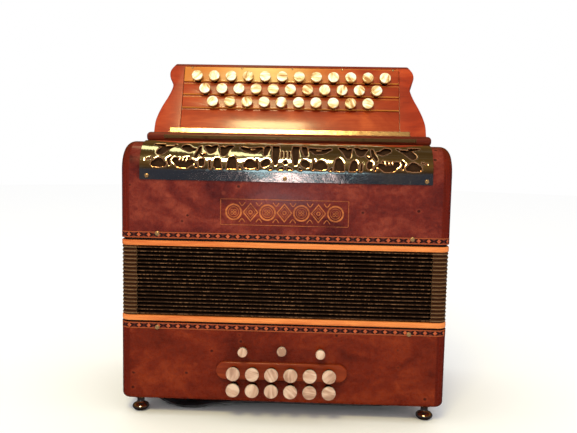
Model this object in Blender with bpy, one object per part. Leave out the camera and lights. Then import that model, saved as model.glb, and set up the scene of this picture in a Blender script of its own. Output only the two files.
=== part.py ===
"""Three-row button accordion, standing on its bass end with the fingerboard up.

Metres, +Z up. The origin is at the centre of the floor rectangle under the four feet.
-Y is the side that faces the listener: it carries the grille and both sets of buttons.
"""

import math

import bmesh
import bpy
from mathutils import Matrix, Vector

# ---- driving dimensions (metres) ------------------------------------------------------------

CASE_WIDTH = 0.325
CASE_DEPTH = 0.184
EDGE_RADIUS = 0.010          # upright edges of both casings, frames and bellows
WALL = 0.007
GAP = 0.0003                 # clearance between pieces that touch
OVER = 0.010                 # how far a cutter reaches past the surface that it opens
INTO = 0.002                 # how far two shapes run into each other where they are joined

FOOT_HEIGHT = 0.017
BASS_TOP = 0.0967
BASS_FRAME = (0.0983, 0.1037)
TREBLE_FRAME = (0.1741, 0.1793)
TREBLE_BOTTOM = 0.1815
TREBLE_TOP = 0.2765
SHADOW_GAP_INSET = 0.002     # how far the seal between a casing and its bellows frame is set back
FRAME_RAIL = 0.016           # width of a bellows frame's rails, round its air passage

SHOULDER_RADIUS = 0.010      # rounded upper corners of the treble casing, seen from the front
GRILLE_RADIUS = 0.028        # quarter-round along the treble casing's upper front edge
WINDOW_HALF = (0.134, 0.0145)    # opening behind the grille: along X, and across the quarter-round
WINDOW_RADII = (0.010, 0.040)    # how far from the quarter-round's centre its cutter starts and ends
REAR_RADIUS = 0.008
ARC_STEPS = 6

GRILLE_HALF_WIDTH = 0.1425
GRILLE_BOTTOM = 0.2395
GRILLE_SHEET = 0.001
GRILLE_TAIL = 0.010
GRILLE_SLOTS = 11
GRILLE_SLOT_WIDTH = 0.0124

PLATE_HALF_WIDTH = 0.149
PLATE_Y = (-0.040, 0.046)
PLATE_THICKNESS = 0.010

BOARD_TILT = math.radians(21.6)
BOARD_FOOT = Vector((0.0, -0.012, TREBLE_TOP + GAP + PLATE_THICKNESS))
BOARD_DEPTH = 0.036
BOARD_SKIN = 0.005
BOARD_TOP = 0.0835
CAVITY_HALF_WIDTH = 0.117
CAVITY_BOTTOM = -0.040
CAVITY_WELL_Y = (-0.004, 0.022)  # opening through the base plate under the levers
LEVER_SLOT_Y = (-0.0118, 0.0039) # opening through the treble casing's top under the base plate
PANEL_HALF_WIDTH = 0.1196
PANEL_RECESS = 0.002
PLAIN_BOARD = (0.001, 0.0295)    # foot and head of the panel without buttons, up the board's face
SLAT_GROOVES = ((0.0440, 0.0458), (0.0597, 0.0618))
# half width of the fingerboard against the height up its face
BOARD_OUTLINE = (
    (-0.022, 0.1475), (0.008, 0.1475), (0.016, 0.1463), (0.024, 0.1440), (0.032, 0.1408),
    (0.040, 0.1367), (0.048, 0.1335), (0.054, 0.1313), (0.060, 0.1315), (0.065, 0.1342),
    (0.071, 0.1355), (0.077, 0.1340), (0.0835, 0.1290),
)

KEY_PITCH = 0.0188
KEY_ROWS = ((12, 0.0660), (11, 0.0506), (10, 0.0352))   # buttons in the row, height up the face
CAP_RADIUS = 0.00625
CAP_FACE = 0.0075
CAP_THICKNESS = 0.0032
KEY_SIDES = 10               # sides of a round part of a key, kept low because there are 33 of them
STEM_RADIUS = 0.0030
BUTTON_HOLE_RADIUS = 0.0045
LEVER_THICKNESS = 0.0015
LEVER_FACES = (-0.010, -0.014)   # front and back of a lever, measured out of the board's face
AXLE_ALONG, AXLE_OUT = -0.027, -0.012
AXLE_RADIUS = 0.00145
AXLE_SEAT, AXLE_IN_SEAT = 0.004, 0.003   # depth of the hole in the casing's end wall, and of the axle in it
AXLE_HOLE_RADIUS = 0.0018
HUB_RADIUS = 0.004
PALLET_ROWS_Y = (-0.076, -0.060, -0.044)
PALLET_HALF = 0.0065
PALLET_Z = (0.2445, 0.2493)
PALLET_ARM_Z = (0.2533, 0.2573)
POST_HALF, POST_INTO = 0.003, 0.001  # post between a pallet and its arm, and how far it runs into both
ROW_LEVER_SHIFT = (KEY_PITCH / 4, 0.0, 0.0)

SOUNDBOARD_Z = (0.2395, 0.2442)
REED_BLOCK_BOTTOM = 0.200
REED_BLOCK_HALF = (0.108, 0.0065)
AIR_HOLE_HALF = 0.004
AIR_HOLE_DEPTH = 0.012           # down into a reed block, below the soundboard's underside

BASS_SHELF_Z = (0.084, 0.089)
BASS_BLOCK_TOP = 0.120
BASS_BLOCK_ROWS_Y = (-0.040, 0.0, 0.040)
BASS_BLOCK_HALF = (0.100, 0.010)
BASS_AIR_HOLES, BASS_AIR_PITCH = 4, 0.048
BASS_AIR_HOLE_HALF = (0.006, 0.005)
BASS_AIR_HOLE_RISE = 0.003       # up into a reed block, above the shelf

BASS_PITCH = 0.0189
BASS_COLUMNS = 6
BASS_ROWS_Z = (0.0505, 0.0340)
BASS_CAP_RADIUS = 0.00685
BASS_CAP_THICKNESS = 0.0035
BASS_STEM_RADIUS = 0.0034
BASS_BUTTON_OUT = 0.0155
BASS_BUTTON_HOLE = 0.0042
BASS_STEM_LENGTH = 0.040
BUTTON_PLATE_HALF = (0.0651, 0.0089)
BUTTON_PLATE_THICKNESS = 0.004

STOP_PITCH = 0.0383
STOP_Z = 0.0717
STOP_KNOB_RADIUS = 0.0047
STOP_SHAFT_RADIUS = 0.0022
STOP_OUT, STOP_THROW = 0.0125, 0.006
STOP_HOLE = 0.0028
STOP_KNOB_LENGTH, STOP_LENGTH = 0.0045, 0.034

AIR_BUTTON = (0.060, 0.050)      # x and z on the rear wall
AIR_BUTTON_RADIUS = 0.006
AIR_BUTTON_OUT = BASS_BUTTON_OUT
AIR_BUTTON_HOLE = 0.0066
AIR_STEM_RADIUS, AIR_BUTTON_LENGTH = 0.0025, 0.034

FOLDS = 18
FOLD_DEPTH = 0.0095
FOLD_WALL = 0.0022

COVER_THICKNESS = 0.0045
FOOT_CENTRE = (0.1460, 0.0760)
# radius of a foot against its height above the floor
FOOT_PROFILE = (
    (0.0030, 0.0), (0.0068, 0.0012), (0.0085, 0.0040), (0.0080, 0.0062), (0.0050, 0.0085),
    (0.0034, 0.0125), (0.0040, 0.0180),
)

STRAP_Y = (-0.072, -0.014)
STRAP_THICKNESS = 0.0026
# underside of the slack hand strap: x against height above the floor
STRAP_ROUTE = (
    (-0.136, 0.0140), (-0.131, 0.0125), (-0.124, 0.0080), (-0.112, 0.0030), (-0.098, 0.0012),
    (-0.084, 0.0024), (-0.070, 0.0052), (-0.050, 0.0076), (-0.020, 0.0086), (0.020, 0.0088),
    (0.060, 0.0088), (0.100, 0.0096), (0.122, 0.0116), (0.136, 0.0140),
)

FRONT = -CASE_DEPTH / 2
HALF_WIDTH = CASE_WIDTH / 2


# ---- scene and materials --------------------------------------------------------------------

def clear_scene():
    for thing in list(bpy.data.objects):
        bpy.data.objects.remove(thing, do_unlink=True)


def material(name, colour, roughness, metallic=0.0):
    made = bpy.data.materials.new(name)
    made.use_nodes = True
    surface = made.node_tree.nodes["Principled BSDF"]
    surface.inputs["Base Color"].default_value = (*colour, 1.0)
    surface.inputs["Roughness"].default_value = roughness
    surface.inputs["Metallic"].default_value = metallic
    return made


# ---- shape helpers --------------------------------------------------------------------------

def arc(centre_a, centre_b, radius, start_deg, end_deg, steps):
    """Points on an arc in a plane, as (a, b) pairs."""
    points = []
    for i in range(steps + 1):
        angle = math.radians(start_deg + (end_deg - start_deg) * i / steps)
        points.append((centre_a + radius * math.cos(angle), centre_b + radius * math.sin(angle)))
    return points


def rounded_rectangle(half_a, half_b, radius, steps=3, middle=(0.0, 0.0)):
    a, b = middle
    points = []
    corners = ((1, 1, 0), (-1, 1, 90), (-1, -1, 180), (1, -1, 270))
    for side_a, side_b, start in corners:
        centre = (a + side_a * (half_a - radius), b + side_b * (half_b - radius))
        points += arc(*centre, radius, start, start + 90, steps)
    return points


def prism(outline, axis, low, high):
    """Closed prism of a flat outline, whose pairs are the two axes other than `axis`, in X, Y, Z order."""
    def place(pair, along):
        first, second = pair
        return {"X": (along, first, second), "Y": (first, along, second), "Z": (first, second, along)}[axis]

    shape = bmesh.new()
    lower = [shape.verts.new(place(pair, low)) for pair in outline]
    upper = [shape.verts.new(place(pair, high)) for pair in outline]
    shape.faces.new(lower)
    shape.faces.new(upper)
    for i in range(len(outline)):
        j = (i + 1) % len(outline)
        shape.faces.new((lower[i], lower[j], upper[j], upper[i]))
    bmesh.ops.recalc_face_normals(shape, faces=shape.faces)
    return shape


def box(low, high):
    return prism(((low[0], low[1]), (high[0], low[1]), (high[0], high[1]), (low[0], high[1])),
                 "Z", low[2], high[2])


def turned(profile, steps, direction=(0, 0, 1), at=(0, 0, 0)):
    """Closed solid of revolution. The profile is (radius, height) from one end to the other."""
    shape = bmesh.new()
    rings = []
    for radius, height in profile:
        ring = []
        for i in range(steps):
            angle = 2 * math.pi * (i + 0.5) / steps
            ring.append(shape.verts.new((radius * math.cos(angle), radius * math.sin(angle), height)))
        rings.append(ring)
    shape.faces.new(rings[0])
    shape.faces.new(rings[-1])
    for below, above in zip(rings, rings[1:]):
        for i in range(steps):
            j = (i + 1) % steps
            shape.faces.new((below[i], below[j], above[j], above[i]))
    turn = Vector((0, 0, 1)).rotation_difference(Vector(direction)).to_matrix().to_4x4()
    bmesh.ops.transform(shape, matrix=Matrix.Translation(at) @ turn, verts=shape.verts)
    bmesh.ops.recalc_face_normals(shape, faces=shape.faces)
    return shape


def merged(shapes):
    """One bmesh that holds several separate closed shapes, for use as a cutter."""
    whole = bmesh.new()
    for shape in shapes:
        mesh = bpy.data.meshes.new("piece")
        shape.to_mesh(mesh)
        shape.free()
        whole.from_mesh(mesh)
        bpy.data.meshes.remove(mesh)
    return whole


def object_of(name, shape):
    mesh = bpy.data.meshes.new(name)
    shape.to_mesh(mesh)
    shape.free()
    thing = bpy.data.objects.new(name, mesh)
    bpy.context.scene.collection.objects.link(thing)
    return thing


def combine(base, operation, *others):
    """Applies one exact Boolean after another to an object and removes the tools that were used."""
    for shape in others:
        tool = object_of("tool", shape)
        step = base.modifiers.new("combine", "BOOLEAN")
        step.operation = operation
        step.object = tool
        graph = bpy.context.evaluated_depsgraph_get()
        result = bpy.data.meshes.new_from_object(base.evaluated_get(graph))
        base.modifiers.clear()
        old = base.data
        base.data = result
        bpy.data.meshes.remove(old)
        bpy.data.objects.remove(tool, do_unlink=True)
    return base


def finish(thing, look, sharp_deg=35):
    """Gives an object its one material and smooth shading up to sharp_deg."""
    thing.data.name = thing.name
    thing.data.materials.clear()
    thing.data.materials.append(look)
    thing.data.shade_smooth()
    thing.data.set_sharp_from_angle(angle=math.radians(sharp_deg))
    return thing


def about(thing, origin):
    """Moves an object's origin to a world point without moving its shape."""
    origin = Vector(origin)
    thing.data.transform(Matrix.Translation(-origin))
    thing.location = origin
    return thing


# ---- treble half ----------------------------------------------------------------------------

def board_point(along, out):
    """World point on the plane x = 0, from a height up the fingerboard's face and a distance out of it."""
    rise = Vector((0, math.sin(BOARD_TILT), math.cos(BOARD_TILT)))
    normal = Vector((0, -math.cos(BOARD_TILT), math.sin(BOARD_TILT)))
    return BOARD_FOOT + rise * along + normal * out


def to_board(shape):
    """Carries a shape drawn with Z up the board's face and -Y out of it into its tilted place."""
    place = Matrix.Translation(BOARD_FOOT) @ Matrix.Rotation(-BOARD_TILT, 4, "X")
    bmesh.ops.transform(shape, matrix=place, verts=shape.verts)
    return shape


AXLE = board_point(AXLE_ALONG, AXLE_OUT)


def key_positions():
    """(row, number in the row, x) of each of the treble buttons."""
    found = []
    for row, (count, _) in enumerate(KEY_ROWS):
        for number in range(count):
            found.append((row, number, (number - (count - 1) / 2) * KEY_PITCH))
    return found


def treble_side_profile(inset, bottom):
    """Outline of the treble casing seen from its end, as (y, z), set in by `inset` from its outer face."""
    front_y, rear_y, top = FRONT + inset, -FRONT - inset, TREBLE_TOP - inset
    front_r, rear_r = GRILLE_RADIUS - inset, max(REAR_RADIUS - inset, 0.001)
    front_centre = (FRONT + GRILLE_RADIUS, TREBLE_TOP - GRILLE_RADIUS)
    points = [(rear_y, bottom)]
    points += arc(rear_y - rear_r, top - rear_r, rear_r, 0, 90, 3)
    points += arc(*front_centre, front_r, 90, 180, ARC_STEPS)
    points.append((front_y, bottom))
    return points


def make_treble_casing(look):
    plan = rounded_rectangle(HALF_WIDTH, -FRONT, EDGE_RADIUS)
    casing = object_of("treble_casing", prism(plan, "Z", TREBLE_BOTTOM, TREBLE_TOP))
    side = prism(treble_side_profile(0.0, TREBLE_BOTTOM - OVER), "X", -HALF_WIDTH - OVER, HALF_WIDTH + OVER)
    centre_x, centre_z = HALF_WIDTH - SHOULDER_RADIUS, TREBLE_TOP - SHOULDER_RADIUS
    front_outline = [(HALF_WIDTH, TREBLE_BOTTOM - OVER)]
    front_outline += arc(centre_x, centre_z, SHOULDER_RADIUS, 0, 90, 4)
    front_outline += arc(-centre_x, centre_z, SHOULDER_RADIUS, 90, 180, 4)
    front_outline.append((-HALF_WIDTH, TREBLE_BOTTOM - OVER))
    face = prism(front_outline, "Y", FRONT - OVER, -FRONT + OVER)
    combine(casing, "INTERSECT", side, face)

    inner = HALF_WIDTH - WALL
    cavity = prism(treble_side_profile(WALL, TREBLE_BOTTOM - OVER), "X", -inner, inner)
    slot = box((-CAVITY_HALF_WIDTH, LEVER_SLOT_Y[0], TREBLE_TOP - WALL - INTO),
               (CAVITY_HALF_WIDTH, LEVER_SLOT_Y[1], TREBLE_TOP + OVER))
    middle = Vector((0, FRONT + GRILLE_RADIUS, TREBLE_TOP - GRILLE_RADIUS))
    half_x, half_rise = WINDOW_HALF
    near, far = WINDOW_RADII
    window = box((-half_x, near, -half_rise), (half_x, far, half_rise))
    turn = Matrix.Translation(middle) @ Matrix.Rotation(math.radians(135), 4, "X")
    bmesh.ops.transform(window, matrix=turn, verts=window.verts)
    reach = inner + AXLE_SEAT
    axle_seats = turned(((AXLE_HOLE_RADIUS, -reach), (AXLE_HOLE_RADIUS, reach)), 10, (1, 0, 0), AXLE)
    combine(casing, "DIFFERENCE", cavity, slot, window, axle_seats)
    return finish(casing, look)


def make_soundboard(look):
    inner_x, inner_y = HALF_WIDTH - WALL - GAP, -FRONT - WALL - GAP
    board = object_of("treble_soundboard", box((-inner_x, -inner_y, SOUNDBOARD_Z[0]),
                                               (inner_x, inner_y, SOUNDBOARD_Z[1])))
    for y in PALLET_ROWS_Y:
        half_x, half_y = REED_BLOCK_HALF
        combine(board, "UNION", box((-half_x, y - half_y, REED_BLOCK_BOTTOM),
                                    (half_x, y + half_y, SOUNDBOARD_Z[0] + INTO)))
    holes = []
    for row, _, x in key_positions():
        x += ROW_LEVER_SHIFT[row]
        if abs(x) > REED_BLOCK_HALF[0] - AIR_HOLE_HALF:
            continue
        y = PALLET_ROWS_Y[row]
        holes.append(box((x - AIR_HOLE_HALF, y - AIR_HOLE_HALF, SOUNDBOARD_Z[0] - AIR_HOLE_DEPTH),
                         (x + AIR_HOLE_HALF, y + AIR_HOLE_HALF, SOUNDBOARD_Z[1] + OVER)))
    combine(board, "DIFFERENCE", merged(holes))
    return finish(board, look)


def make_axle(look):
    reach = HALF_WIDTH - WALL + AXLE_IN_SEAT
    rod = turned(((AXLE_RADIUS, -reach), (AXLE_RADIUS, reach)), 10, (1, 0, 0), AXLE)
    return finish(object_of("treble_key_axle", rod), look)


def make_grille(look):
    """Curved sheet over the quarter-round, with one row of tall slots."""
    clear = GRILLE_RADIUS + GAP
    centre_y, centre_z = FRONT + GRILLE_RADIUS, TREBLE_TOP - GRILLE_RADIUS
    profile = [(centre_y - clear, GRILLE_BOTTOM)]
    for i in range(ARC_STEPS + 1):
        angle = math.pi - math.pi / 2 * i / ARC_STEPS
        profile.append((centre_y + clear * math.cos(angle), centre_z + clear * math.sin(angle)))
    profile.append((centre_y + GRILLE_TAIL, centre_z + clear))
    pitch = (2 * GRILLE_HALF_WIDTH + GRILLE_SLOT_WIDTH) / (GRILLE_SLOTS + 1)
    edges = []
    for rib in range(GRILLE_SLOTS + 1):
        left = -GRILLE_HALF_WIDTH + rib * pitch
        edges += [left, left + pitch - GRILLE_SLOT_WIDTH]
    sheet = bmesh.new()
    grid = [[sheet.verts.new((x, y, z)) for y, z in profile] for x in edges]
    for column in range(len(edges) - 1):
        for row in range(len(profile) - 1):
            if column % 2 == 1 and 2 <= row <= 5:
                continue
            left, right = grid[column], grid[column + 1]
            sheet.faces.new((left[row], right[row], right[row + 1], left[row + 1]))
    grille = object_of("treble_grille", sheet)
    thick = grille.modifiers.new("sheet", "SOLIDIFY")
    thick.thickness = GRILLE_SHEET
    thick.offset = 1.0
    return finish(grille, look)


def make_fingerboard(look):
    outline = [(half, along) for along, half in BOARD_OUTLINE]
    outline += [(-half, along) for along, half in reversed(BOARD_OUTLINE)]
    board = object_of("fingerboard", to_board(prism(outline, "Y", 0.0, BOARD_DEPTH)))
    plate_bottom = TREBLE_TOP + GAP
    half_thick = PLATE_THICKNESS / 2
    below = box((-CASE_WIDTH, -CASE_DEPTH, 0), (CASE_WIDTH, CASE_DEPTH, plate_bottom + half_thick))
    combine(board, "DIFFERENCE", below)
    plate_outline = rounded_rectangle(PLATE_HALF_WIDTH, half_thick, half_thick * 0.98, 3,
                                      (0.0, plate_bottom + half_thick))
    combine(board, "UNION", prism(plate_outline, "Y", *PLATE_Y))

    cavity = to_board(box((-CAVITY_HALF_WIDTH, BOARD_SKIN, CAVITY_BOTTOM),
                          (CAVITY_HALF_WIDTH, BOARD_DEPTH - BOARD_SKIN, BOARD_TOP - BOARD_SKIN)))
    well = box((-CAVITY_HALF_WIDTH, CAVITY_WELL_Y[0], plate_bottom - OVER),
               (CAVITY_HALF_WIDTH, CAVITY_WELL_Y[1], plate_bottom + PLATE_THICKNESS + INTO))
    combine(board, "DIFFERENCE", cavity, well)
    for low, high in (PLAIN_BOARD, *SLAT_GROOVES):
        groove = box((-PANEL_HALF_WIDTH, -INTO, low), (PANEL_HALF_WIDTH, PANEL_RECESS, high))
        combine(board, "DIFFERENCE", to_board(groove))
    holes = []
    for row, _, x in key_positions():
        ends = ((BUTTON_HOLE_RADIUS, -INTO), (BUTTON_HOLE_RADIUS, BOARD_SKIN + INTO))
        holes.append(turned(ends, 8, (0, 1, 0), (x, 0, KEY_ROWS[row][1])))
    combine(board, "DIFFERENCE", to_board(merged(holes)))
    return finish(board, look)


def key_mesh(row):
    """One treble key at x = 0: pearl cap, stem, lever, hub, pallet arm and pallet as one piece."""
    along = KEY_ROWS[row][1]
    shift = ROW_LEVER_SHIFT[row]
    half = LEVER_THICKNESS / 2
    front, back = LEVER_FACES
    pallet_y = PALLET_ROWS_Y[row]
    arm_low, arm_high = PALLET_ARM_Z
    outline = [board_point(along + 0.003, front), board_point(along + 0.003, back),
               board_point(AXLE_ALONG + 0.002, back)]
    outline = [(point.y, point.z) for point in outline]
    outline += [(AXLE.y + 0.0028, arm_low), (pallet_y - POST_HALF, arm_low), (pallet_y - POST_HALF, arm_high),
                (AXLE.y - 0.006, arm_high)]
    elbow = board_point(AXLE_ALONG + 0.006, front)
    outline.append((elbow.y, elbow.z))
    key = object_of("key", prism(outline, "X", shift - half, shift + half))
    hub = turned(((HUB_RADIUS, shift - half), (HUB_RADIUS, shift + half)), 8, (1, 0, 0), AXLE)
    post = box((shift - half, pallet_y - POST_HALF, PALLET_Z[1] - POST_INTO),
               (shift + half, pallet_y + POST_HALF, arm_low + POST_INTO))
    pallet = box((shift - PALLET_HALF, pallet_y - PALLET_HALF, PALLET_Z[0]),
                 (shift + PALLET_HALF, pallet_y + PALLET_HALF, PALLET_Z[1]))
    under = CAP_FACE - CAP_THICKNESS
    button = turned(((STEM_RADIUS, front - 0.001), (STEM_RADIUS, under), (CAP_RADIUS, under),
                     (CAP_RADIUS, CAP_FACE - 0.0008), (CAP_RADIUS - 0.0016, CAP_FACE)),
                    KEY_SIDES, (0, -1, 0), (0, 0, along))
    shapes = [hub, post, pallet, to_board(button)]
    if shift:
        foot = box((-STEM_RADIUS, -front - 0.0005, along - 0.0028), (shift + half, -back, along + 0.0028))
        shapes.append(to_board(foot))
    combine(key, "UNION", *shapes)
    bore = turned(((AXLE_HOLE_RADIUS, -OVER), (AXLE_HOLE_RADIUS, OVER)), 8, (1, 0, 0), AXLE)
    combine(key, "DIFFERENCE", bore)
    about(key, AXLE)
    mesh = key.data
    bpy.data.objects.remove(key, do_unlink=True)
    return mesh


def make_keys(look):
    meshes = [key_mesh(row) for row in range(len(KEY_ROWS))]
    for mesh in meshes:
        mesh.materials.append(look)
        mesh.shade_smooth()
        mesh.set_sharp_from_angle(angle=math.radians(35))
    for row, number, x in key_positions():
        key = bpy.data.objects.new(f"treble_key_{row + 1}_{number + 1:02d}", meshes[row])
        key.location = AXLE + Vector((x, 0, 0))
        bpy.context.scene.collection.objects.link(key)


# ---- bellows and its frames -----------------------------------------------------------------

def make_frame(name, low, high, seal_low, seal_high, look):
    """Rectangular bellows frame with the set-back seal on its casing's side."""
    ring = object_of(name, prism(rounded_rectangle(HALF_WIDTH, -FRONT, EDGE_RADIUS), "Z", low, high))
    inset = SHADOW_GAP_INSET
    seal = rounded_rectangle(HALF_WIDTH - inset, -FRONT - inset, EDGE_RADIUS - inset)
    combine(ring, "UNION", prism(seal, "Z", seal_low, seal_high))
    passage = rounded_rectangle(HALF_WIDTH - FRAME_RAIL, -FRONT - FRAME_RAIL, 0.004, 1)
    combine(ring, "DIFFERENCE", prism(passage, "Z", low - OVER, high + OVER))
    return finish(ring, look)


def make_bellows(look):
    """Zigzag tube, open at both ends, closed up to its shortest length."""
    low, high = BASS_FRAME[1] + GAP, TREBLE_FRAME[0] - GAP
    shape = bmesh.new()

    def ring(inset, z):
        outline = rounded_rectangle(HALF_WIDTH - inset, -FRONT - inset, EDGE_RADIUS, 1)
        return [shape.verts.new((x, y, z)) for x, y in outline]

    levels = 2 * FOLDS + 1
    rings = []
    for i in range(levels):
        inset = GAP + (0.0 if i % 2 else FOLD_DEPTH)
        rings.append(ring(inset, low + (high - low) * i / (levels - 1)))
    for i in reversed(range(levels)):
        inset = GAP + FOLD_WALL + (0.0 if i % 2 else FOLD_DEPTH)
        rings.append(ring(inset, low + (high - low) * i / (levels - 1)))
    for below, above in zip(rings, rings[1:] + rings[:1]):
        for i in range(len(below)):
            j = (i + 1) % len(below)
            shape.faces.new((below[i], below[j], above[j], above[i]))
    bmesh.ops.recalc_face_normals(shape, faces=shape.faces)
    return finish(object_of("bellows", shape), look)


# ---- bass half ------------------------------------------------------------------------------

def bass_positions():
    """(row, number in the row, x, z) of each bass button."""
    found = []
    for row, z in enumerate(BASS_ROWS_Z):
        for number in range(BASS_COLUMNS):
            x = (number - (BASS_COLUMNS - 1) / 2) * BASS_PITCH
            found.append((row, number, x, z))
    return found


def stop_positions():
    return [(i - 1) * STOP_PITCH for i in range(3)]


def make_bass_casing(look):
    plan = rounded_rectangle(HALF_WIDTH, -FRONT, EDGE_RADIUS)
    casing = object_of("bass_casing", prism(plan, "Z", FOOT_HEIGHT, BASS_TOP))
    inner_x, inner_y = HALF_WIDTH - WALL, -FRONT - WALL
    low, high = BASS_SHELF_Z
    combine(casing, "DIFFERENCE", box((-inner_x, -inner_y, FOOT_HEIGHT - OVER), (inner_x, inner_y, low)),
            box((-inner_x, -inner_y, high), (inner_x, inner_y, BASS_TOP + OVER)))
    half_x, half_y = BASS_BLOCK_HALF
    hole_x, hole_y = BASS_AIR_HOLE_HALF
    for y in BASS_BLOCK_ROWS_Y:
        block = box((-half_x, y - half_y, high - INTO), (half_x, y + half_y, BASS_BLOCK_TOP))
        combine(casing, "UNION", block)
        holes = []
        for i in range(BASS_AIR_HOLES):
            x = (i - (BASS_AIR_HOLES - 1) / 2) * BASS_AIR_PITCH
            holes.append(box((x - hole_x, y - hole_y, low - INTO),
                             (x + hole_x, y + hole_y, high + BASS_AIR_HOLE_RISE)))
        combine(casing, "DIFFERENCE", merged(holes))
    plate_radius = BUTTON_PLATE_HALF[1] * 0.98
    button_plate = rounded_rectangle(*BUTTON_PLATE_HALF, plate_radius, 4, (0.0, BASS_ROWS_Z[0]))
    combine(casing, "UNION", prism(button_plate, "Y", FRONT - BUTTON_PLATE_THICKNESS, FRONT + INTO))
    holes = []
    reach = (FRONT - BUTTON_PLATE_THICKNESS - INTO, FRONT + WALL + INTO)
    for _, _, x, z in bass_positions():
        holes.append(turned([(BASS_BUTTON_HOLE, y) for y in reach], 10, (0, 1, 0), (x, 0, z)))
    for x in stop_positions():
        holes.append(turned([(STOP_HOLE, y) for y in reach], 8, (0, 1, 0), (x, 0, STOP_Z)))
    x, z = AIR_BUTTON
    reach = (-FRONT - WALL - INTO, -FRONT + INTO)
    holes.append(turned([(AIR_BUTTON_HOLE, y) for y in reach], 12, (0, 1, 0), (x, 0, z)))
    combine(casing, "DIFFERENCE", merged(holes))
    return finish(casing, look)


def make_end_cover(look):
    """Bottom board set into the bass casing, with the four turned feet and the two strap anchors."""
    inner_x, inner_y = HALF_WIDTH - WALL - GAP, -FRONT - WALL - GAP
    bottom = FOOT_HEIGHT + GAP
    top = bottom + COVER_THICKNESS
    cover = object_of("bass_end_cover", box((-inner_x, -inner_y, bottom), (inner_x, inner_y, top)))
    for side_x in (-1, 1):
        for side_y in (-1, 1):
            place = (side_x * FOOT_CENTRE[0], side_y * FOOT_CENTRE[1], 0)
            combine(cover, "UNION", turned(FOOT_PROFILE, 10, (0, 0, 1), place))
    return finish(cover, look)


def make_strap(look):
    """Slack leather band that hangs under the end cover and runs the long way across it."""
    shape = bmesh.new()
    rings = []
    for x, z in STRAP_ROUTE:
        corners = ((STRAP_Y[0], z), (STRAP_Y[1], z), (STRAP_Y[1], z + STRAP_THICKNESS),
                   (STRAP_Y[0], z + STRAP_THICKNESS))
        rings.append([shape.verts.new((x, y, height)) for y, height in corners])
    shape.faces.new(rings[0])
    shape.faces.new(rings[-1])
    for near, far in zip(rings, rings[1:]):
        for i in range(4):
            j = (i + 1) % 4
            shape.faces.new((near[i], near[j], far[j], far[i]))
    bmesh.ops.recalc_face_normals(shape, faces=shape.faces)
    return finish(object_of("hand_strap", shape), look)


def make_bass_buttons(look):
    radius = BASS_CAP_RADIUS
    face = FRONT - BASS_BUTTON_OUT
    under = face + BASS_CAP_THICKNESS
    profile = ((radius - 0.0022, face), (radius, face + 0.0010), (radius, under),
               (BASS_STEM_RADIUS, under), (BASS_STEM_RADIUS, face + BASS_STEM_LENGTH))
    button = object_of("button", turned(profile, 10, (0, 1, 0)))
    about(button, (0, face, 0))
    mesh = finish(button, look).data
    bpy.data.objects.remove(button, do_unlink=True)
    for row, number, x, z in bass_positions():
        copy = bpy.data.objects.new(f"bass_button_{row + 1}_{number + 1}", mesh)
        copy.location = (x, face, z)
        bpy.context.scene.collection.objects.link(copy)


def make_stops(look):
    """Register knobs on round shafts. The outer two are pulled out and the middle one is pushed in."""
    for number, x in enumerate(stop_positions()):
        out = STOP_OUT - (STOP_THROW if number == 1 else 0.0)
        face = FRONT - out
        back = face + STOP_KNOB_LENGTH
        profile = ((STOP_KNOB_RADIUS - 0.0015, face), (STOP_KNOB_RADIUS, face + 0.0010),
                   (STOP_KNOB_RADIUS, back), (STOP_SHAFT_RADIUS, back + 0.0005),
                   (STOP_SHAFT_RADIUS, face + STOP_LENGTH))
        knob = object_of(f"register_stop_{number + 1}", turned(profile, 10, (0, 1, 0), (x, 0, STOP_Z)))
        finish(about(knob, (x, face, STOP_Z)), look)


def make_air_button(look):
    x, z = AIR_BUTTON
    face = -FRONT + AIR_BUTTON_OUT
    profile = ((AIR_STEM_RADIUS, face - AIR_BUTTON_LENGTH), (AIR_STEM_RADIUS, -FRONT - WALL - 0.001),
               (AIR_BUTTON_RADIUS, -FRONT - WALL - 0.001), (AIR_BUTTON_RADIUS, face - 0.0010),
               (AIR_BUTTON_RADIUS - 0.002, face))
    button = object_of("air_button", turned(profile, 12, (0, 1, 0), (x, 0, z)))
    return finish(about(button, (x, face, z)), look)


# ---- the whole instrument -------------------------------------------------------------------

def main():
    clear_scene()
    burl = material("burl_veneer", (0.20, 0.045, 0.022), 0.25)
    board_wood = material("fingerboard_wood", (0.42, 0.10, 0.03), 0.25)
    frame_wood = material("frame_wood", (0.72, 0.29, 0.09), 0.40)
    raw_wood = material("reed_wood", (0.55, 0.37, 0.20), 0.60)
    pearl = material("pearl", (0.72, 0.60, 0.42), 0.20)
    chrome = material("chrome", (0.75, 0.72, 0.68), 0.12, 1.0)
    steel = material("steel", (0.55, 0.55, 0.55), 0.35, 1.0)
    cloth = material("bellows_cloth", (0.030, 0.018, 0.014), 0.70)
    leather = material("strap_leather", (0.035, 0.035, 0.038), 0.55)

    make_treble_casing(burl)
    make_soundboard(raw_wood)
    make_axle(steel)
    make_grille(chrome)
    make_fingerboard(board_wood)
    make_keys(pearl)

    frame_seal = TREBLE_BOTTOM - GAP
    make_frame("treble_bellows_frame", TREBLE_FRAME[0], TREBLE_FRAME[1], TREBLE_FRAME[1] - 0.001, frame_seal,
               frame_wood)
    make_frame("bass_bellows_frame", BASS_FRAME[0], BASS_FRAME[1], BASS_TOP + GAP, BASS_FRAME[0] + 0.001,
               frame_wood)
    make_bellows(cloth)

    make_bass_casing(burl)
    make_end_cover(burl)
    make_strap(leather)
    make_bass_buttons(pearl)
    make_stops(pearl)
    make_air_button(pearl)


main()
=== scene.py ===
"""A three-row diatonic button accordion standing on its bass end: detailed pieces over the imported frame.

Metres throughout, +Z up, and -Y is the front with the grille and the buttons.
"""

import math
import random

import bmesh
import bpy
from mathutils import Matrix, Vector, noise


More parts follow.
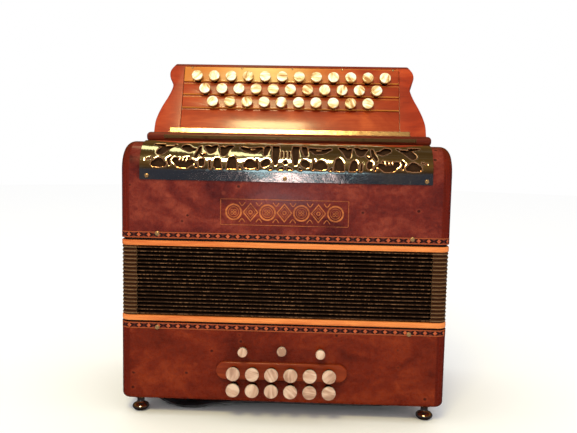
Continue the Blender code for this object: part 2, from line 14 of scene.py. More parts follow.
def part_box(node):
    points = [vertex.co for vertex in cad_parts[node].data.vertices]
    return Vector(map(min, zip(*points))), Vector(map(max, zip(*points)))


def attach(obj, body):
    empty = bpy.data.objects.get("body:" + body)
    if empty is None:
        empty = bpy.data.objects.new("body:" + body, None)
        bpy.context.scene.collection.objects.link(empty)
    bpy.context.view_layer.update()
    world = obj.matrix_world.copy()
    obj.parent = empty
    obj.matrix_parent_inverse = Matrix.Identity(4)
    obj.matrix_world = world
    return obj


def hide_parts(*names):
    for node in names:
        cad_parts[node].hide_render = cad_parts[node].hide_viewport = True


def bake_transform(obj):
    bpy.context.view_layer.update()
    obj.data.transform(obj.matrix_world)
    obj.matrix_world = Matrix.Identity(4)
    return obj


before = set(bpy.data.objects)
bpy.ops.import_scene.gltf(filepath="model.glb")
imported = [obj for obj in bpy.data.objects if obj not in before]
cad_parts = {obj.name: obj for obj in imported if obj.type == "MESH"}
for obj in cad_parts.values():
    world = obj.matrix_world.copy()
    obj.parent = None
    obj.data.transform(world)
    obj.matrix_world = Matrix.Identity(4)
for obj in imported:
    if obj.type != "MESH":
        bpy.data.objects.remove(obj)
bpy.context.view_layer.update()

# ---- sizes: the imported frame's boxes first, then details that no box gives ---------------------

TREBLE, BASS = "treble_half", "bass_half"
GAP = 0.0003
CASE_LOW, CASE_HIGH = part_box("treble_casing")
HALF_WIDTH, HALF_DEPTH = CASE_HIGH.x, CASE_HIGH.y
FRONT = -HALF_DEPTH
TREBLE_BOTTOM, TREBLE_TOP = CASE_LOW.z, CASE_HIGH.z
BASS_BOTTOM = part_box("bass_casing")[0].z
BASS_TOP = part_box("bass_bellows_frame")[0].z - GAP
BASS_SEAL, TREBLE_SEAL = 0.0016, 0.0022      # heights of the dark seals between casings and frames
SEAL_INSET = 0.002
BELLOWS_LOW, BELLOWS_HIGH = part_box("bass_bellows_frame")[1].z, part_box("treble_bellows_frame")[0].z
FRAME_WIDTH = 0.016              # from the outside of a bellows frame to its air passage
EDGE_RADIUS = 0.010
LEAST_RADIUS = 0.0004            # of an upright edge, however far in it is
POST_WIDTH = 0.0105              # solid wood beside each upright edge, beyond the burl
WALL = 0.007
FRONT_WALL, REAR_WALL = (0.08, 0.10), (-0.10, -0.08)     # how far ahead of y = 0 a drill has to reach

SHOULDER_RADIUS = 0.010
GRILLE_RADIUS = 0.028
REAR_RADIUS = 0.008
WINDOW_HALF_WIDTH = 0.134
WINDOW_ANGLES = (3.5, 76.2)      # opening behind the grille, in degrees up the quarter-round
WINDOW_STEPS = 8
LEVER_SLOT_HALF_WIDTH, LEVER_SLOT_Y = 0.117, (-0.0118, 0.0039)

PIN_X = 0.1250
BAND_HEIGHT = 0.0065             # inlaid band next to each bellows frame
BAND_PROUD = 0.00012
BAND_CELLS = 102                 # diamonds round the instrument
NAME_PANEL_Z = 0.2094            # height of the marquetry panel's centre
NAME_PANEL_HALF = (0.0625, 0.0126)

GRILLE_HALF_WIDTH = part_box("treble_grille")[1].x
GRILLE_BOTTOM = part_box("treble_grille")[0].z
GRILLE_TAIL = 0.010
GRILLE_SHEET = 0.0008
GRILLE_CLOTH_WIDTH = 0.280
BEND_CENTRE = (FRONT + GRILLE_RADIUS, TREBLE_TOP - GRILLE_RADIUS)     # y and z of the quarter-round's axis

PLATE_Z = (TREBLE_TOP + GAP, TREBLE_TOP + GAP + 0.010)
PLATE_HALF_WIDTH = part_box("fingerboard")[1].x
PLATE_Y = (-0.040, 0.046)
BOARD_TILT = math.radians(21.6)
BOARD = Matrix.Translation((0, -0.012, PLATE_Z[1])) @ Matrix.Rotation(-BOARD_TILT, 4, "X")
BOARD_DEPTH = 0.036
BOARD_TOP = 0.0835
BOARD_SKIN = 0.005
PANEL_HALF_WIDTH, PANEL_TOP, PANEL_RECESS = 0.1196, 0.0803, 0.002
CAVITY_HALF_WIDTH = 0.117
# half width of the fingerboard at heights up its face
BOARD_SIDE = (
    (-0.022, 0.1475), (0.008, 0.1475), (0.020, 0.1454), (0.032, 0.1408), (0.044, 0.1349), (0.054, 0.1313),
    (0.060, 0.1315), (0.065, 0.1342), (0.071, 0.1355), (0.077, 0.1340), (0.0835, 0.1290),
)

KEY_PITCH = 0.0188
KEY_ROWS = ((12, 0.0660), (11, 0.0506), (10, 0.0352))   # buttons in the row, height up the face
SLATS = ((0.0620, 0.0800), (0.0460, 0.0596), (0.0300, 0.0438))
PLAIN_SLAT = (0.0005, 0.0282)
CAP_RADIUS, CAP_FACE, CAP_THICKNESS = 0.00625, 0.0075, 0.0032
STEM_RADIUS = 0.0030
KEY_HOLE = 0.0050
LEVER_FACES = (-0.010, -0.014)
LEVER_THICKNESS = 0.0015
AXLE = BOARD @ Vector((0, 0.012, -0.027))
AXLE_HOLE, HUB_RADIUS = 0.0018, 0.004
PALLET_ROWS_Y = (-0.076, -0.060, -0.044)
PALLET_HALF = 0.0065
PALLET_Z, PALLET_ARM_Z = (0.2445, 0.2493), (0.2533, 0.2573)
LEVER_SHIFTS = (KEY_PITCH / 4, 0.0, 0.0)
KEY_METAL = 2                    # a key's looks are pearl, stem, metal, pallet wood, felt and leather

FOLDS = 18
FOLD_DEPTH = 0.0092
CLIP_REACH = 0.0165              # how far a bellows corner clip runs along each side
VALLEY_LAP = 0.0001              # how far a fold reaches over its neighbour in the valley between them
CLOTH_LOOK, TAPE_LOOK, WORN_LOOK, CLIP_LOOK, CLIP_FLANK_LOOK = range(5)      # a fold's looks

# radius, thickness of the cap, radius and length of the stem, and how far the face is crowned
BASS_BUTTON = (0.00685, 0.0035, 0.0034, 0.040, 0.0002)
STOP_BUTTON = (0.0047, 0.0046, 0.0022, 0.034, 0.0003)
AIR_BUTTON = (0.0060, 0.0060, 0.0045, 0.030, 0.0004)
BASS_HOLE, STOP_HOLE, AIR_HOLE = 0.0042, 0.0028, 0.0066
BUTTON_PLATE_HOLE = 0.0048
BASS_ROW_Z = [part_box(f"bass_button_{row}_1")[0].z + BASS_BUTTON[0] for row in (1, 2)]
BUTTON_PLATE_HALF = (0.0651, 0.0089)
BUTTON_PLATE_THICKNESS = 0.004
AIR_BUTTON_PLACE = (0.060, 0.050)

COVER_THICKNESS = 0.0045
FOOT_CENTRE = (0.1460, 0.0760)
STRAP_Y = (-0.072, -0.014)
STRAP_THICKNESS = 0.0026
# underside of the slack hand strap: x against height above the floor
STRAP_ROUTE = (
    (-0.136, 0.0140), (-0.131, 0.0125), (-0.124, 0.0080), (-0.112, 0.0030), (-0.098, 0.0012),
    (-0.084, 0.0024), (-0.070, 0.0052), (-0.050, 0.0076), (-0.020, 0.0086), (0.020, 0.0088),
    (0.060, 0.0088), (0.100, 0.0096), (0.122, 0.0116), (0.136, 0.0140),
)

# turns of a shape that is made along +Z: to the front, to the rear, and to the right
OUTWARD = Matrix.Rotation(math.pi / 2, 4, "X")
BACKWARD = Matrix.Rotation(-math.pi / 2, 4, "X")
SIDEWAYS = Matrix.Rotation(math.pi / 2, 4, "Y")
LEFT_RIGHT = ((-1, "left"), (1, "right"))
FRONT_REAR = ((-1, "front"), (1, "rear"))


# ---- shapes ------------------------------------------------------------------------------------

def smooth_path(points, steps=6):
    """Catmull-Rom curve through the points, as more points."""
    points = [Vector(p) for p in points]
    ends = [2 * points[0] - points[1]] + points + [2 * points[-1] - points[-2]]
    path = []
    for a, b, c, d in zip(ends, ends[1:], ends[2:], ends[3:]):
        for i in range(steps):
            t = i / steps
            path.append(0.5 * (2 * b + (c - a) * t + (2 * a - 5 * b + 4 * c - d) * t ** 2
                               + (3 * b - a - 3 * c + d) * t ** 3))
    return path + [points[-1]]


def arc(centre, radii, start_deg, end_deg, steps):
    """Points on an ellipse's arc, as (a, b) pairs."""
    found = []
    for i in range(steps + 1):
        angle = math.radians(start_deg + (end_deg - start_deg) * i / steps)
        found.append((centre[0] + radii[0] * math.cos(angle), centre[1] + radii[1] * math.sin(angle)))
    return found


def loft(rings, closed=True, capped=False, skip=None, looks=None):
    """Quads between rings of equally many points.

    `skip` is asked with (ring, point) which quads to leave out, and `looks` has one look for each
    step round a ring.
    """
    shape = bmesh.new()
    rows = [[shape.verts.new(point) for point in ring] for ring in rings]
    count = len(rings[0])
    for i in range(len(rows) - 1):
        for j in range(count if closed else count - 1):
            if skip and skip(i, j):
                continue
            k = (j + 1) % count
            face = shape.faces.new((rows[i][j], rows[i][k], rows[i + 1][k], rows[i + 1][j]))
            if looks:
                face.material_index = looks[j]
    if capped:
        shape.faces.new(rows[0])
        shape.faces.new(rows[-1])
    bmesh.ops.recalc_face_normals(shape, faces=shape.faces)
    return shape


def painted(shape, look):
    """The shape with all its faces in one of its piece's looks, counted from 0."""
    for face in shape.faces:
        face.material_index = look
    return shape


def moved(shape, place):
    bmesh.ops.transform(shape, matrix=place, verts=shape.verts)
    return shape


def spin(profile, steps=24, place=Matrix.Identity(4), look=0):
    """Turned shape about +Z from (radius, height) pairs, then moved to its place."""
    turns = [2 * math.pi * i / steps for i in range(steps)]
    rings = []
    for radius, height in profile:
        radius = max(radius, 1e-5)
        rings.append([(radius * math.cos(t), radius * math.sin(t), height) for t in turns])
    return moved(painted(loft(rings, capped=True), look), place)


def prism(outline, depth, place=Matrix.Identity(4), look=0):
    """Outline of (x, z) pairs, extruded from y = depth[0] to y = depth[1]."""
    shape = loft([[(x, y, z) for x, z in outline] for y in depth], capped=True)
    return moved(painted(shape, look), place)


def box(low, high, place=Matrix.Identity(4), look=0):
    """Cuboid between two opposite corners, then moved to its place."""
    outline = ((low[0], low[2]), (high[0], low[2]), (high[0], high[2]), (low[0], high[2]))
    return prism(outline, (low[1], high[1]), place, look)


def rounded_outline(half_a, half_b, radius, centre=(0, 0), steps=6):
    """Rectangle with rounded corners, as (a, b) pairs."""
    points = []
    for side_a, side_b, start in ((1, 1, 0), (-1, 1, 90), (-1, -1, 180), (1, -1, 270)):
        corner = (centre[0] + side_a * (half_a - radius), centre[1] + side_b * (half_b - radius))
        points += arc(corner, (radius, radius), start, start + 90, steps)
    return points


def drill(x, z, radius, reach, steps=24):
    """Cutter for a round hole through the front or rear, between two distances ahead of y = 0."""
    return spin([(radius, ahead) for ahead in reach], steps, Matrix.Translation((x, 0, z)) @ OUTWARD)


def joined(*shapes):
    """One bmesh that holds all the shapes."""
    whole = bmesh.new()
    for shape in shapes:
        part = bpy.data.meshes.new("part")
        shape.to_mesh(part)
        shape.free()
        whole.from_mesh(part)
        bpy.data.meshes.remove(part)
    return whole


def mesh_of(shape):
    """The bmesh as a mesh. A mesh is handed back as it is."""
    if isinstance(shape, bpy.types.Mesh):
        return shape
    mesh = bpy.data.meshes.new("shape")
    shape.to_mesh(mesh)
    shape.free()
    return mesh


def add_object(name, data):
    thing = bpy.data.objects.new(name, data)
    bpy.context.scene.collection.objects.link(thing)
    return thing


def modified(shape, **modifiers):
    """The shape as a mesh, after modifiers that are each given as KIND={setting: value}."""
    thing = add_object("working", mesh_of(shape))
    for kind, settings in modifiers.items():
        modifier = thing.modifiers.new(kind, kind)
        for name, value in settings.items():
            setattr(modifier, name, value)
    graph = bpy.context.evaluated_depsgraph_get()
    result = bpy.data.meshes.new_from_object(thing.evaluated_get(graph))
    bpy.data.objects.remove(thing)
    return result


def bevelled(shape, width, segments=3):
    """The shape with its sharp edges rounded."""
    return modified(shape, BEVEL={"width": width, "segments": segments, "limit_method": "ANGLE",
                                  "angle_limit": math.radians(40)})


def cut(shape, *cutters):
    """The shape less the cutters."""
    tool = add_object("cutter", mesh_of(joined(*cutters)))
    mesh = modified(shape, BOOLEAN={"object": tool, "solver": "EXACT", "use_self": False})
    bpy.data.objects.remove(tool)
    return mesh


def piece(name, shape, body, *looks, place=None, sharp_deg=35, replaces=(), slot=None):
    """Makes the shape an object that rides on a body."""
    mesh = mesh_of(shape)
    mesh.name = name
    look_of_face = [face.material_index for face in mesh.polygons]
    mesh.materials.clear()
    for look in looks:
        mesh.materials.append(look)
    mesh.polygons.foreach_set("material_index", look_of_face)
    mesh.shade_smooth()
    mesh.set_sharp_from_angle(angle=math.radians(sharp_deg))
    thing = add_object(name, mesh)
    if place:
        thing.matrix_world = place
    if body:
        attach(thing, body)
    if replaces:
        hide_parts(*replaces)
    return thing


def plan(inset, z):
    """Points round the instrument at height z, set in from its outer face."""
    radius = max(EDGE_RADIUS - inset, LEAST_RADIUS)
    return [Vector((x, y, z)) for x, y in rounded_outline(HALF_WIDTH - inset, HALF_DEPTH - inset, radius)]


def wall_ring(section, looks=None):
    """Wall round the instrument with a closed section of (inset, z) pairs.

    Its UV is the distance round the instrument and the height, both in metres. `looks` has one look
    for each step of the section.
    """
    shape = bmesh.new()
    rows = [[shape.verts.new(point) for point in plan(inset, z)] for inset, z in section]
    outside = plan(0, 0)
    reach = [0.0]
    for a, b in zip(outside, outside[1:] + outside[:1]):
        reach.append(reach[-1] + (b - a).length)
    uv = shape.loops.layers.uv.new("run")
    count = len(outside)
    for i, row in enumerate(rows):
        above = rows[(i + 1) % len(rows)]
        for j in range(count):
            k = (j + 1) % count
            face = shape.faces.new((row[j], row[k], above[k], above[j]))
            for loop, u in zip(face.loops, (reach[j], reach[j + 1], reach[j + 1], reach[j])):
                loop[uv].uv = (u, loop.vert.co.z)
            if looks:
                face.material_index = looks[i]
    bmesh.ops.recalc_face_normals(shape, faces=shape.faces)
    return shape


# ---- materials ---------------------------------------------------------------------------------

def srgb(red, green, blue):
    """Linear colour from 0 to 255 display values."""
    def linear(value):
        value /= 255
        return value / 12.92 if value <= 0.04045 else ((value + 0.055) / 1.055) ** 2.4
    return (linear(red), linear(green), linear(blue), 1.0)


class Signal:
    """A node's output that can be reckoned with like a number."""

    def __init__(self, look, socket):
        self.look = look
        self.socket = socket

    def __add__(self, other):
        return self.look.maths("ADD", self, other)

    def __sub__(self, other):
        return self.look.maths("SUBTRACT", self, other)

    def __rsub__(self, other):
        return self.look.maths("SUBTRACT", other, self)

    def __mul__(self, other):
        return self.look.maths("MULTIPLY", self, other)

    def __truediv__(self, other):
        return self.look.maths("DIVIDE", self, other)

    def __abs__(self):
        return self.look.maths("ABSOLUTE", self)


class Look:
    """A node material being put together."""

    def __init__(self, name, roughness=0.5, metallic=0.0, **fixed):
        self.material = bpy.data.materials.new(name)
        self.material.use_nodes = True
        self.tree = self.material.node_tree
        self.shader = self.tree.nodes["Principled BSDF"]
        self.feed("Roughness", roughness)
        self.feed("Metallic", metallic)
        for socket, value in fixed.items():
            self.feed(socket.replace("_", " ").title().replace("Ior", "IOR"), value)

    def feed(self, socket, value):
        """Gives an input, or one of the shader's inputs by its name, a signal or a fixed value."""
        if isinstance(socket, str):
            socket = self.shader.inputs[socket]
        if isinstance(value, Signal):
            self.tree.links.new(value.socket, socket)
        else:
            socket.default_value = value

    def node(self, kind, inputs, **settings):
        made = self.tree.nodes.new("ShaderNode" + kind)
        for name, value in settings.items():
            setattr(made, name, value)
        for name, value in inputs.items():
            self.feed(made.inputs[name], value)
        return made

    def signal(self, output, kind, inputs, **settings):
        """One output of a new node."""
        return Signal(self, self.node(kind, inputs, **settings).outputs[output])

    def maths(self, operation, a, b=0.0):
        return self.signal("Value", "Math", {0: a, 1: b}, operation=operation)

    def coordinates(self):
        return self.signal("Object", "TexCoord", {})

    def where(self, scale=(1, 1, 1), shift=(0, 0, 0), of=None):
        """Coordinates on the object, or the given ones, scaled and shifted."""
        return self.signal("Vector", "Mapping", {"Vector": of or self.coordinates(), "Scale": scale,
                                                 "Location": shift})

    def uv(self):
        return self.signal("UV", "UVMap", {}, uv_map="run")

    def attribute(self, name):
        return self.signal("Fac", "Attribute", {}, attribute_name=name)

    def parts(self, vector):
        return [Signal(self, output) for output in self.node("SeparateXYZ", {"Vector": vector}).outputs]

    def noise(self, where, scale, detail, roughness, distortion=0.0):
        return self.signal("Fac", "TexNoise", {"Vector": where, "Scale": scale, "Detail": detail,
                                               "Roughness": roughness, "Distortion": distortion})

    def cells(self, where, scale):
        """Distance from the middle of a cell, and the cell's own colour."""
        made = self.node("TexVoronoi", {"Vector": where, "Scale": scale})
        return Signal(self, made.outputs["Distance"]), Signal(self, made.outputs["Color"])

    def step(self, value, low, high):
        """0 below low, 1 above high, and smooth between them."""
        return self.signal("Result", "MapRange", {"Value": value, "From Min": low, "From Max": high},
                           interpolation_type="SMOOTHSTEP")

    def ramp(self, factor, *stops):
        made = self.node("ValToRGB", {"Fac": factor})
        elements = made.color_ramp.elements
        while len(elements) < len(stops):
            elements.new(0.5)
        for element, (position, colour) in zip(elements, stops):
            element.position = position
            element.color = colour
        return Signal(self, made.outputs["Color"])

    def mix(self, factor, a, b):
        return self.signal(2, "Mix", {0: factor, 6: a, 7: b}, data_type="RGBA")

    def bump(self, height, distance, strength=1.0, over=None):
        """Feeds the shader's normal, on top of an earlier bump if there is one."""
        inputs = {"Height": height, "Distance": distance, "Strength": strength}
        if over:
            inputs["Normal"] = over
        made = self.signal("Normal", "Bump", inputs)
        self.feed("Normal", made)
        return made

    def done(self, colour):
        self.feed("Base Color", colour)
        return self.material


def grey(value):
    return (value, value, value, 1.0)


def burl_veneer(name, dark, middle, light, post):
    """Mottled burl between solid corner posts, under a gloss varnish."""
    look = Look(name, coat_weight=0.6, coat_roughness=0.09, specular_ior_level=0.25)
    at = look.where()
    cloud = look.noise(look.where((0.7, 1, 1.2)), 22, 3, 0.52, 1.2)
    blotch = look.noise(look.where((1, 1, 1.3)), 85, 3, 0.52, 1.4)
    colour = look.ramp(cloud * 0.70 + blotch * 0.30, (0.30, dark), (0.50, middle), (0.72, light))
    fibre = look.noise(look.where((1, 1, 0.25)), 900, 2, 0.6)
    colour = look.mix(look.step(fibre, 0.35, 0.75), colour, look.mix(0.22, colour, dark))

    # bird's eyes: a small dark crescent in a paler halo, in about half of the cells
    distance, chance = look.cells(look.where((1, 1, 1.15)), 74)
    shifted, _ = look.cells(look.where((1, 1, 1.15), shift=(0, 0, 0.05)), 74)
    chosen = look.step(look.parts(chance)[0], 0.48, 0.52)
    crescent = (1 - look.step(distance, 0.08, 0.16)) * look.step(shifted, 0.08, 0.16)
    halo = 1 - look.step(distance, 0.12, 0.30)
    colour = look.mix(halo * chosen * 0.35, colour, light)
    colour = look.mix(crescent * chosen * 0.85, colour, srgb(46, 10, 8))

    across = abs(look.parts(at)[0])
    grain = look.noise(look.where((1, 1, 0.05)), 420, 3, 0.6, 0.4)
    shade = tuple(0.62 * channel for channel in post[:3]) + (1.0,)
    solid = look.ramp(grain, (0.30, shade), (0.70, post))
    joint = HALF_WIDTH - POST_WIDTH
    colour = look.mix(look.step(across, joint, joint + 0.0020), colour, solid)
    wear = look.noise(at, 300, 4, 0.7)
    look.feed("Roughness", look.ramp(wear, (0.35, grey(0.24)), (0.75, grey(0.36))))
    look.bump(look.noise(at, 150, 2, 0.5), 0.0006, 0.10)
    return look.done(colour)


def plain_wood(name, dark, light, scale, roughness, coat, squeeze=0.05, use_uv=False):
    """Straight-grained wood. `squeeze` draws it out along its grain, and `use_uv` bends it round corners."""
    look = Look(name, roughness=roughness, coat_weight=coat, coat_roughness=0.12, specular_ior_level=0.3)
    at = look.where((squeeze, 1, 1), of=look.uv() if use_uv else None)
    grain = look.noise(at, scale, 4, 0.6, 0.3)
    broad = look.noise(at, scale / 7, 2, 0.5, 0.5)
    colour = look.ramp(grain * 0.55 + broad * 0.45, (0.34, dark), (0.64, light))
    pores = look.step(look.noise(at, scale * 3, 2, 0.5), 0.62, 0.72)
    colour = look.mix(pores * 0.35, colour, dark)
    look.bump(grain, 0.0004, 0.12)
    return look.done(colour)


def fingerboard_wood(name, dark, middle, light, slats=()):
    """Orange-red figured wood, with painted golden highlights along the slats' edges and over the left half
    of the top one, and painted shade towards the slats' right end.
    """
    look = Look(name, roughness=0.30, coat_weight=0.8, coat_roughness=0.15, specular_ior_level=0.3)
    cloud = look.noise(look.where((0.5, 1, 1)), 38, 4, 0.55, 1.0)
    fibre = look.noise(look.where((0.05, 1, 1)), 520, 3, 0.6)
    colour = look.ramp(cloud * 0.78 + fibre * 0.22, (0.32, dark), (0.50, middle), (0.70, light))
    x, _, z = look.parts(look.where())
    highlight_gold, glare_straw = srgb(226, 148, 58), srgb(255, 216, 130)
    # Painted highlight on the top slat: golden over its left half and palest a little left of its middle,
    # where the glare falls.
    if slats:
        top_slat = look.step(z, slats[0][0] - 0.0015, slats[0][0] + 0.0005)
        left = 1 - look.step(x, 0.0, 0.08)
        near_glare = 1 - look.step(abs(x + 0.032), 0.0, 0.07)
        colour = look.mix(top_slat * left * 0.6, colour, highlight_gold)
        colour = look.mix(top_slat * near_glare * 0.75, colour, glare_straw)
        # Painted shade: the slats darken towards their right end, where the light falls off.
        colour = look.mix(look.step(x, 0.06, 0.115) * 0.35, colour, dark)
    # Painted highlights: a golden line along both edges of every slat, where the rounded edges catch the
    # light.
    for height in [edge for slat in slats for edge in slat]:
        wear_and_edge_highlight = 1 - look.step(abs(z - height), 0.0005, 0.0013)
        colour = look.mix(wear_and_edge_highlight * 0.7, colour, highlight_gold)
    top_edge = look.step(z, BOARD_TOP - 0.0031, BOARD_TOP - 0.0027)
    colour = look.mix(top_edge * 0.75, colour, srgb(92, 26, 12))
    look.bump(cloud, 0.0012, 0.12)
    return look.done(colour)


def inlay_band():
    """Row of diamonds between two light stringing lines, with dark bow ties between the diamonds."""
    look = Look("inlay_band", roughness=0.34, coat_weight=0.4, coat_roughness=0.16)
    u, v, _ = look.parts(look.uv())
    perimeter = 4 * (HALF_WIDTH + HALF_DEPTH - 2 * EDGE_RADIUS) + 2 * math.pi * EDGE_RADIUS
    pitch, half = perimeter / BAND_CELLS, BAND_HEIGHT / 2
    along = abs((look.maths("FRACT", u / pitch) - 0.5) * pitch)
    height = abs(v - half)
    diamond = 1 - look.step(along + height, 0.0020, 0.0023)
    above_tie = height - (pitch / 2 - along) * 0.75
    mottle = look.noise(look.where(), 500, 3, 0.6)
    dark = look.ramp(mottle, (0.3, srgb(30, 10, 8)), (0.7, srgb(52, 16, 12)))
    bright = look.ramp(mottle, (0.3, srgb(156, 60, 26)), (0.7, srgb(202, 94, 46)))
    colour = look.mix(look.step(above_tie, 0.0001, 0.0004), dark, srgb(104, 34, 20))
    colour = look.mix(diamond, colour, bright)
    colour = look.mix(look.step(height, half - 0.0012, half - 0.0010), colour, srgb(164, 74, 26))
    colour = look.mix(look.step(height, half - 0.0003, half - 0.0001), colour, srgb(50, 15, 9))
    return look.done(colour)


def pearl(name, dark, middle, light, rim):
    """Celluloid with streaks that lie a different way on each button, and a rim in its own colour, which on
    the bass buttons is a paler painted highlight.
    """
    look = Look(name, roughness=0.22, coat_weight=0.3, coat_roughness=0.08, ior=1.5,
                subsurface_weight=0.05, subsurface_scale=0.002)
    seed = look.attribute("seed")
    shift = look.signal("Vector", "CombineXYZ", {"X": seed * 3.7, "Y": seed, "Z": seed * 5.3})
    at = look.signal("Vector", "VectorMath", {0: look.coordinates(), 1: shift}, operation="ADD")
    at = look.signal("Vector", "VectorRotate", {"Vector": at, "Angle": seed * 40.0, "Axis": (0, 1, 0)},
                     rotation_type="AXIS_ANGLE")
    cloud = look.noise(look.where((1, 1, 0.45), of=at), 90, 2, 0.5, 1.2)
    streak = look.noise(look.where((1, 1, 0.12), of=at), 330, 2, 0.5, 0.8)
    colour = look.ramp(cloud * 0.6 + streak * 0.4, (0.39, dark), (0.48, middle), (0.59, light))
    colour = look.mix(look.step(look.attribute("edge"), 0.6, 1.0), colour, rim)
    look.bump(streak, 0.0001, 0.05)
    return look.done(colour)


def metal(name, colour, roughness, scratch, tarnish=None, metallic=1.0, rim=None, dents=0.0):
    """Polished or worn metal. `rim` is the colour that the attribute "rim" brings in, which on the grille is
    a painted orange reflection round the openings.
    """
    look = Look(name, metallic=metallic)
    at = look.where()
    haze = look.noise(at, 260, 4, 0.65)
    look.feed("Roughness", haze * scratch + (roughness - scratch * 0.4))
    fine = look.bump(look.noise(look.where((0.03, 1, 1)), 1800, 2, 0.5), 0.00005, 0.08)
    if dents:
        look.bump(look.noise(at, 150, 3, 0.6), dents, 0.5, over=fine)
    if tarnish:
        spots = look.step(look.noise(at, 140, 5, 0.7), 0.55, 0.72)
        colour = look.mix(spots * 0.7, colour, tarnish)
    if rim:
        nearness = look.attribute("rim")
        colour = look.mix(nearness, colour, rim)
        look.feed("Metallic", metallic - nearness * 0.3)
    return look.done(colour)


def cloth(name, dark, light, scale=1400, roughness=0.85):
    """Fine woven book cloth."""
    look = Look(name, roughness=roughness, specular_ior_level=0.15)
    at = look.where()
    thread = look.noise(at, scale, 2, 0.6)
    wear_and_edge_highlight = look.noise(at, 120, 4, 0.65)
    colour = look.ramp(thread, (0.35, dark), (0.70, light))
    colour = look.mix(look.step(wear_and_edge_highlight, 0.55, 0.75), colour, look.mix(0.5, colour, light))
    look.bump(thread, 0.0002, 0.5)
    return look.done(colour)


def ridge_tape(name, ground, rubbed, share):
    """Leathercloth tape on the bellows folds. The larger `share` is, the more of it is rubbed pale."""
    look = Look(name, roughness=0.5, specular_ior_level=0.15)
    beads = look.noise(look.where((1, 1, 0.2)), 560, 2, 0.6)
    broad = look.noise(look.where(), 45, 3, 0.6)
    bare = look.step(beads, 0.60 - 0.3 * share, 0.72 - 0.3 * share) * look.step(broad, 0.25, 0.60)
    look.bump(beads, 0.0002, 0.4)
    return look.done(look.mix(bare, ground, rubbed))


def leather(name, dark, light):
    """Pebbled leather."""
    look = Look(name, roughness=0.48, coat_weight=0.15, coat_roughness=0.3)
    at = look.where()
    pebble, _ = look.cells(at, 900)
    look.bump(pebble, 0.0004, 0.35)
    return look.done(look.ramp(look.noise(at, 70, 4, 0.6), (0.35, dark), (0.70, light)))


def plain(name, colour, roughness, **fixed):
    """Moulded or painted surface with a little unevenness."""
    look = Look(name, **fixed)
    haze = look.noise(look.where(), 350, 4, 0.6)
    look.feed("Roughness", haze * 0.16 + (roughness - 0.08))
    look.bump(haze, 0.0002, 0.15)
    return look.done(look.mix(haze * 0.3, colour, grey(0.5 * sum(colour[:3]) / 3)))


TREBLE_BURL = burl_veneer("treble_burl", srgb(62, 13, 16), srgb(108, 34, 25), srgb(152, 66, 46),
                          post=srgb(106, 24, 6))
BASS_BURL = burl_veneer("bass_burl", srgb(80, 18, 4), srgb(110, 31, 8), srgb(142, 52, 18),
                        post=srgb(104, 24, 4))
FRAME_WOOD = plain_wood("frame_wood", srgb(194, 90, 34), srgb(234, 142, 72), 500, 0.42, 0.15, 0.06, True)
BOARD_WOOD = fingerboard_wood("fingerboard_wood", srgb(132, 34, 8), srgb(164, 50, 14), srgb(190, 72, 26))
PANEL_WOOD = fingerboard_wood("panel_wood", srgb(134, 40, 10), srgb(168, 60, 20), srgb(202, 90, 38), SLATS)
PLATE_WOOD = plain_wood("plate_wood", srgb(74, 20, 10), srgb(118, 40, 20), 420, 0.3, 0.5)
BUTTON_PLATE_WOOD = plain_wood("button_plate_wood", srgb(108, 30, 4), srgb(146, 54, 12), 520, 0.34, 0.35)
RAW_WOOD = plain_wood("raw_wood", srgb(168, 128, 84), srgb(206, 170, 124), 380, 0.65, 0.0)
COVER_WOOD = plain_wood("cover_wood", srgb(78, 26, 14), srgb(124, 50, 28), 380, 0.4, 0.3)
GOLD_INLAY = plain_wood("gold_inlay", srgb(116, 52, 24), srgb(198, 112, 54), 700, 0.34, 0.4, 0.3)
INLAY = inlay_band()
TREBLE_PEARL = pearl("treble_pearl", srgb(178, 122, 62), srgb(238, 206, 148), srgb(255, 250, 232),
                     rim=srgb(160, 104, 44))
# The paler rim of the bass buttons is a painted highlight.
BASS_PEARL = pearl("bass_pearl", srgb(166, 128, 108), srgb(196, 158, 136), srgb(220, 190, 168),
                   rim=srgb(190, 172, 150))
# Orange, less metallic rims round the openings: painted reflection of warm surroundings.
CHROME = metal("grille_chrome", (0.86, 0.80, 0.70, 1), 0.09, 0.06, rim=(0.80, 0.27, 0.06, 1), dents=0.00018)
BRIGHT_METAL = metal("nickel_strip", (0.80, 0.50, 0.26, 1), 0.20, 0.16, srgb(120, 66, 24), 0.85, dents=0.0002)
BRASS = metal("brass_strip", (0.34, 0.19, 0.08, 1), 0.20, 0.15, srgb(60, 30, 12), 0.8)
BRONZE = metal("corner_bronze", (0.38, 0.22, 0.10, 1), 0.34, 0.15, srgb(92, 52, 24), 0.35)
# Much darker copy of the corner bronze for the clips' flanks and insides: painted shade.
SHADED_CLIP_FLANK = metal("corner_bronze_shaded_flank", (0.080, 0.024, 0.005, 1), 0.45, 0.15, srgb(44, 20, 6), 0.2)
STEEL = metal("steel", (0.52, 0.51, 0.50, 1), 0.30, 0.15)
SCREW_METAL = metal("screw_brass", (0.70, 0.42, 0.20, 1), 0.26, 0.15, srgb(96, 54, 24), 0.7)
FOOT_CHROME = metal("foot_chrome", (0.84, 0.66, 0.54, 1), 0.12, 0.10)
BELLOWS_CLOTH = cloth("bellows_cloth", srgb(36, 21, 15), srgb(62, 40, 30))
RIDGE_TAPE = ridge_tape("ridge_tape", srgb(48, 30, 22), srgb(80, 54, 40), 0.1)
WORN_RIDGE = ridge_tape("worn_ridge", srgb(58, 37, 25), srgb(136, 98, 70), 0.45)
GRILLE_CLOTH = cloth("grille_cloth", srgb(36, 20, 10), srgb(70, 44, 24))
FELT = cloth("felt", srgb(96, 22, 20), srgb(140, 44, 38), 1700, 0.95)
SEAL_LEATHER = leather("seal_leather", srgb(24, 14, 10), srgb(46, 30, 22))
STRAP_LEATHER = leather("strap_leather", srgb(38, 38, 42), srgb(70, 70, 76))
THREAD = plain("thread", srgb(150, 140, 120), 0.8)
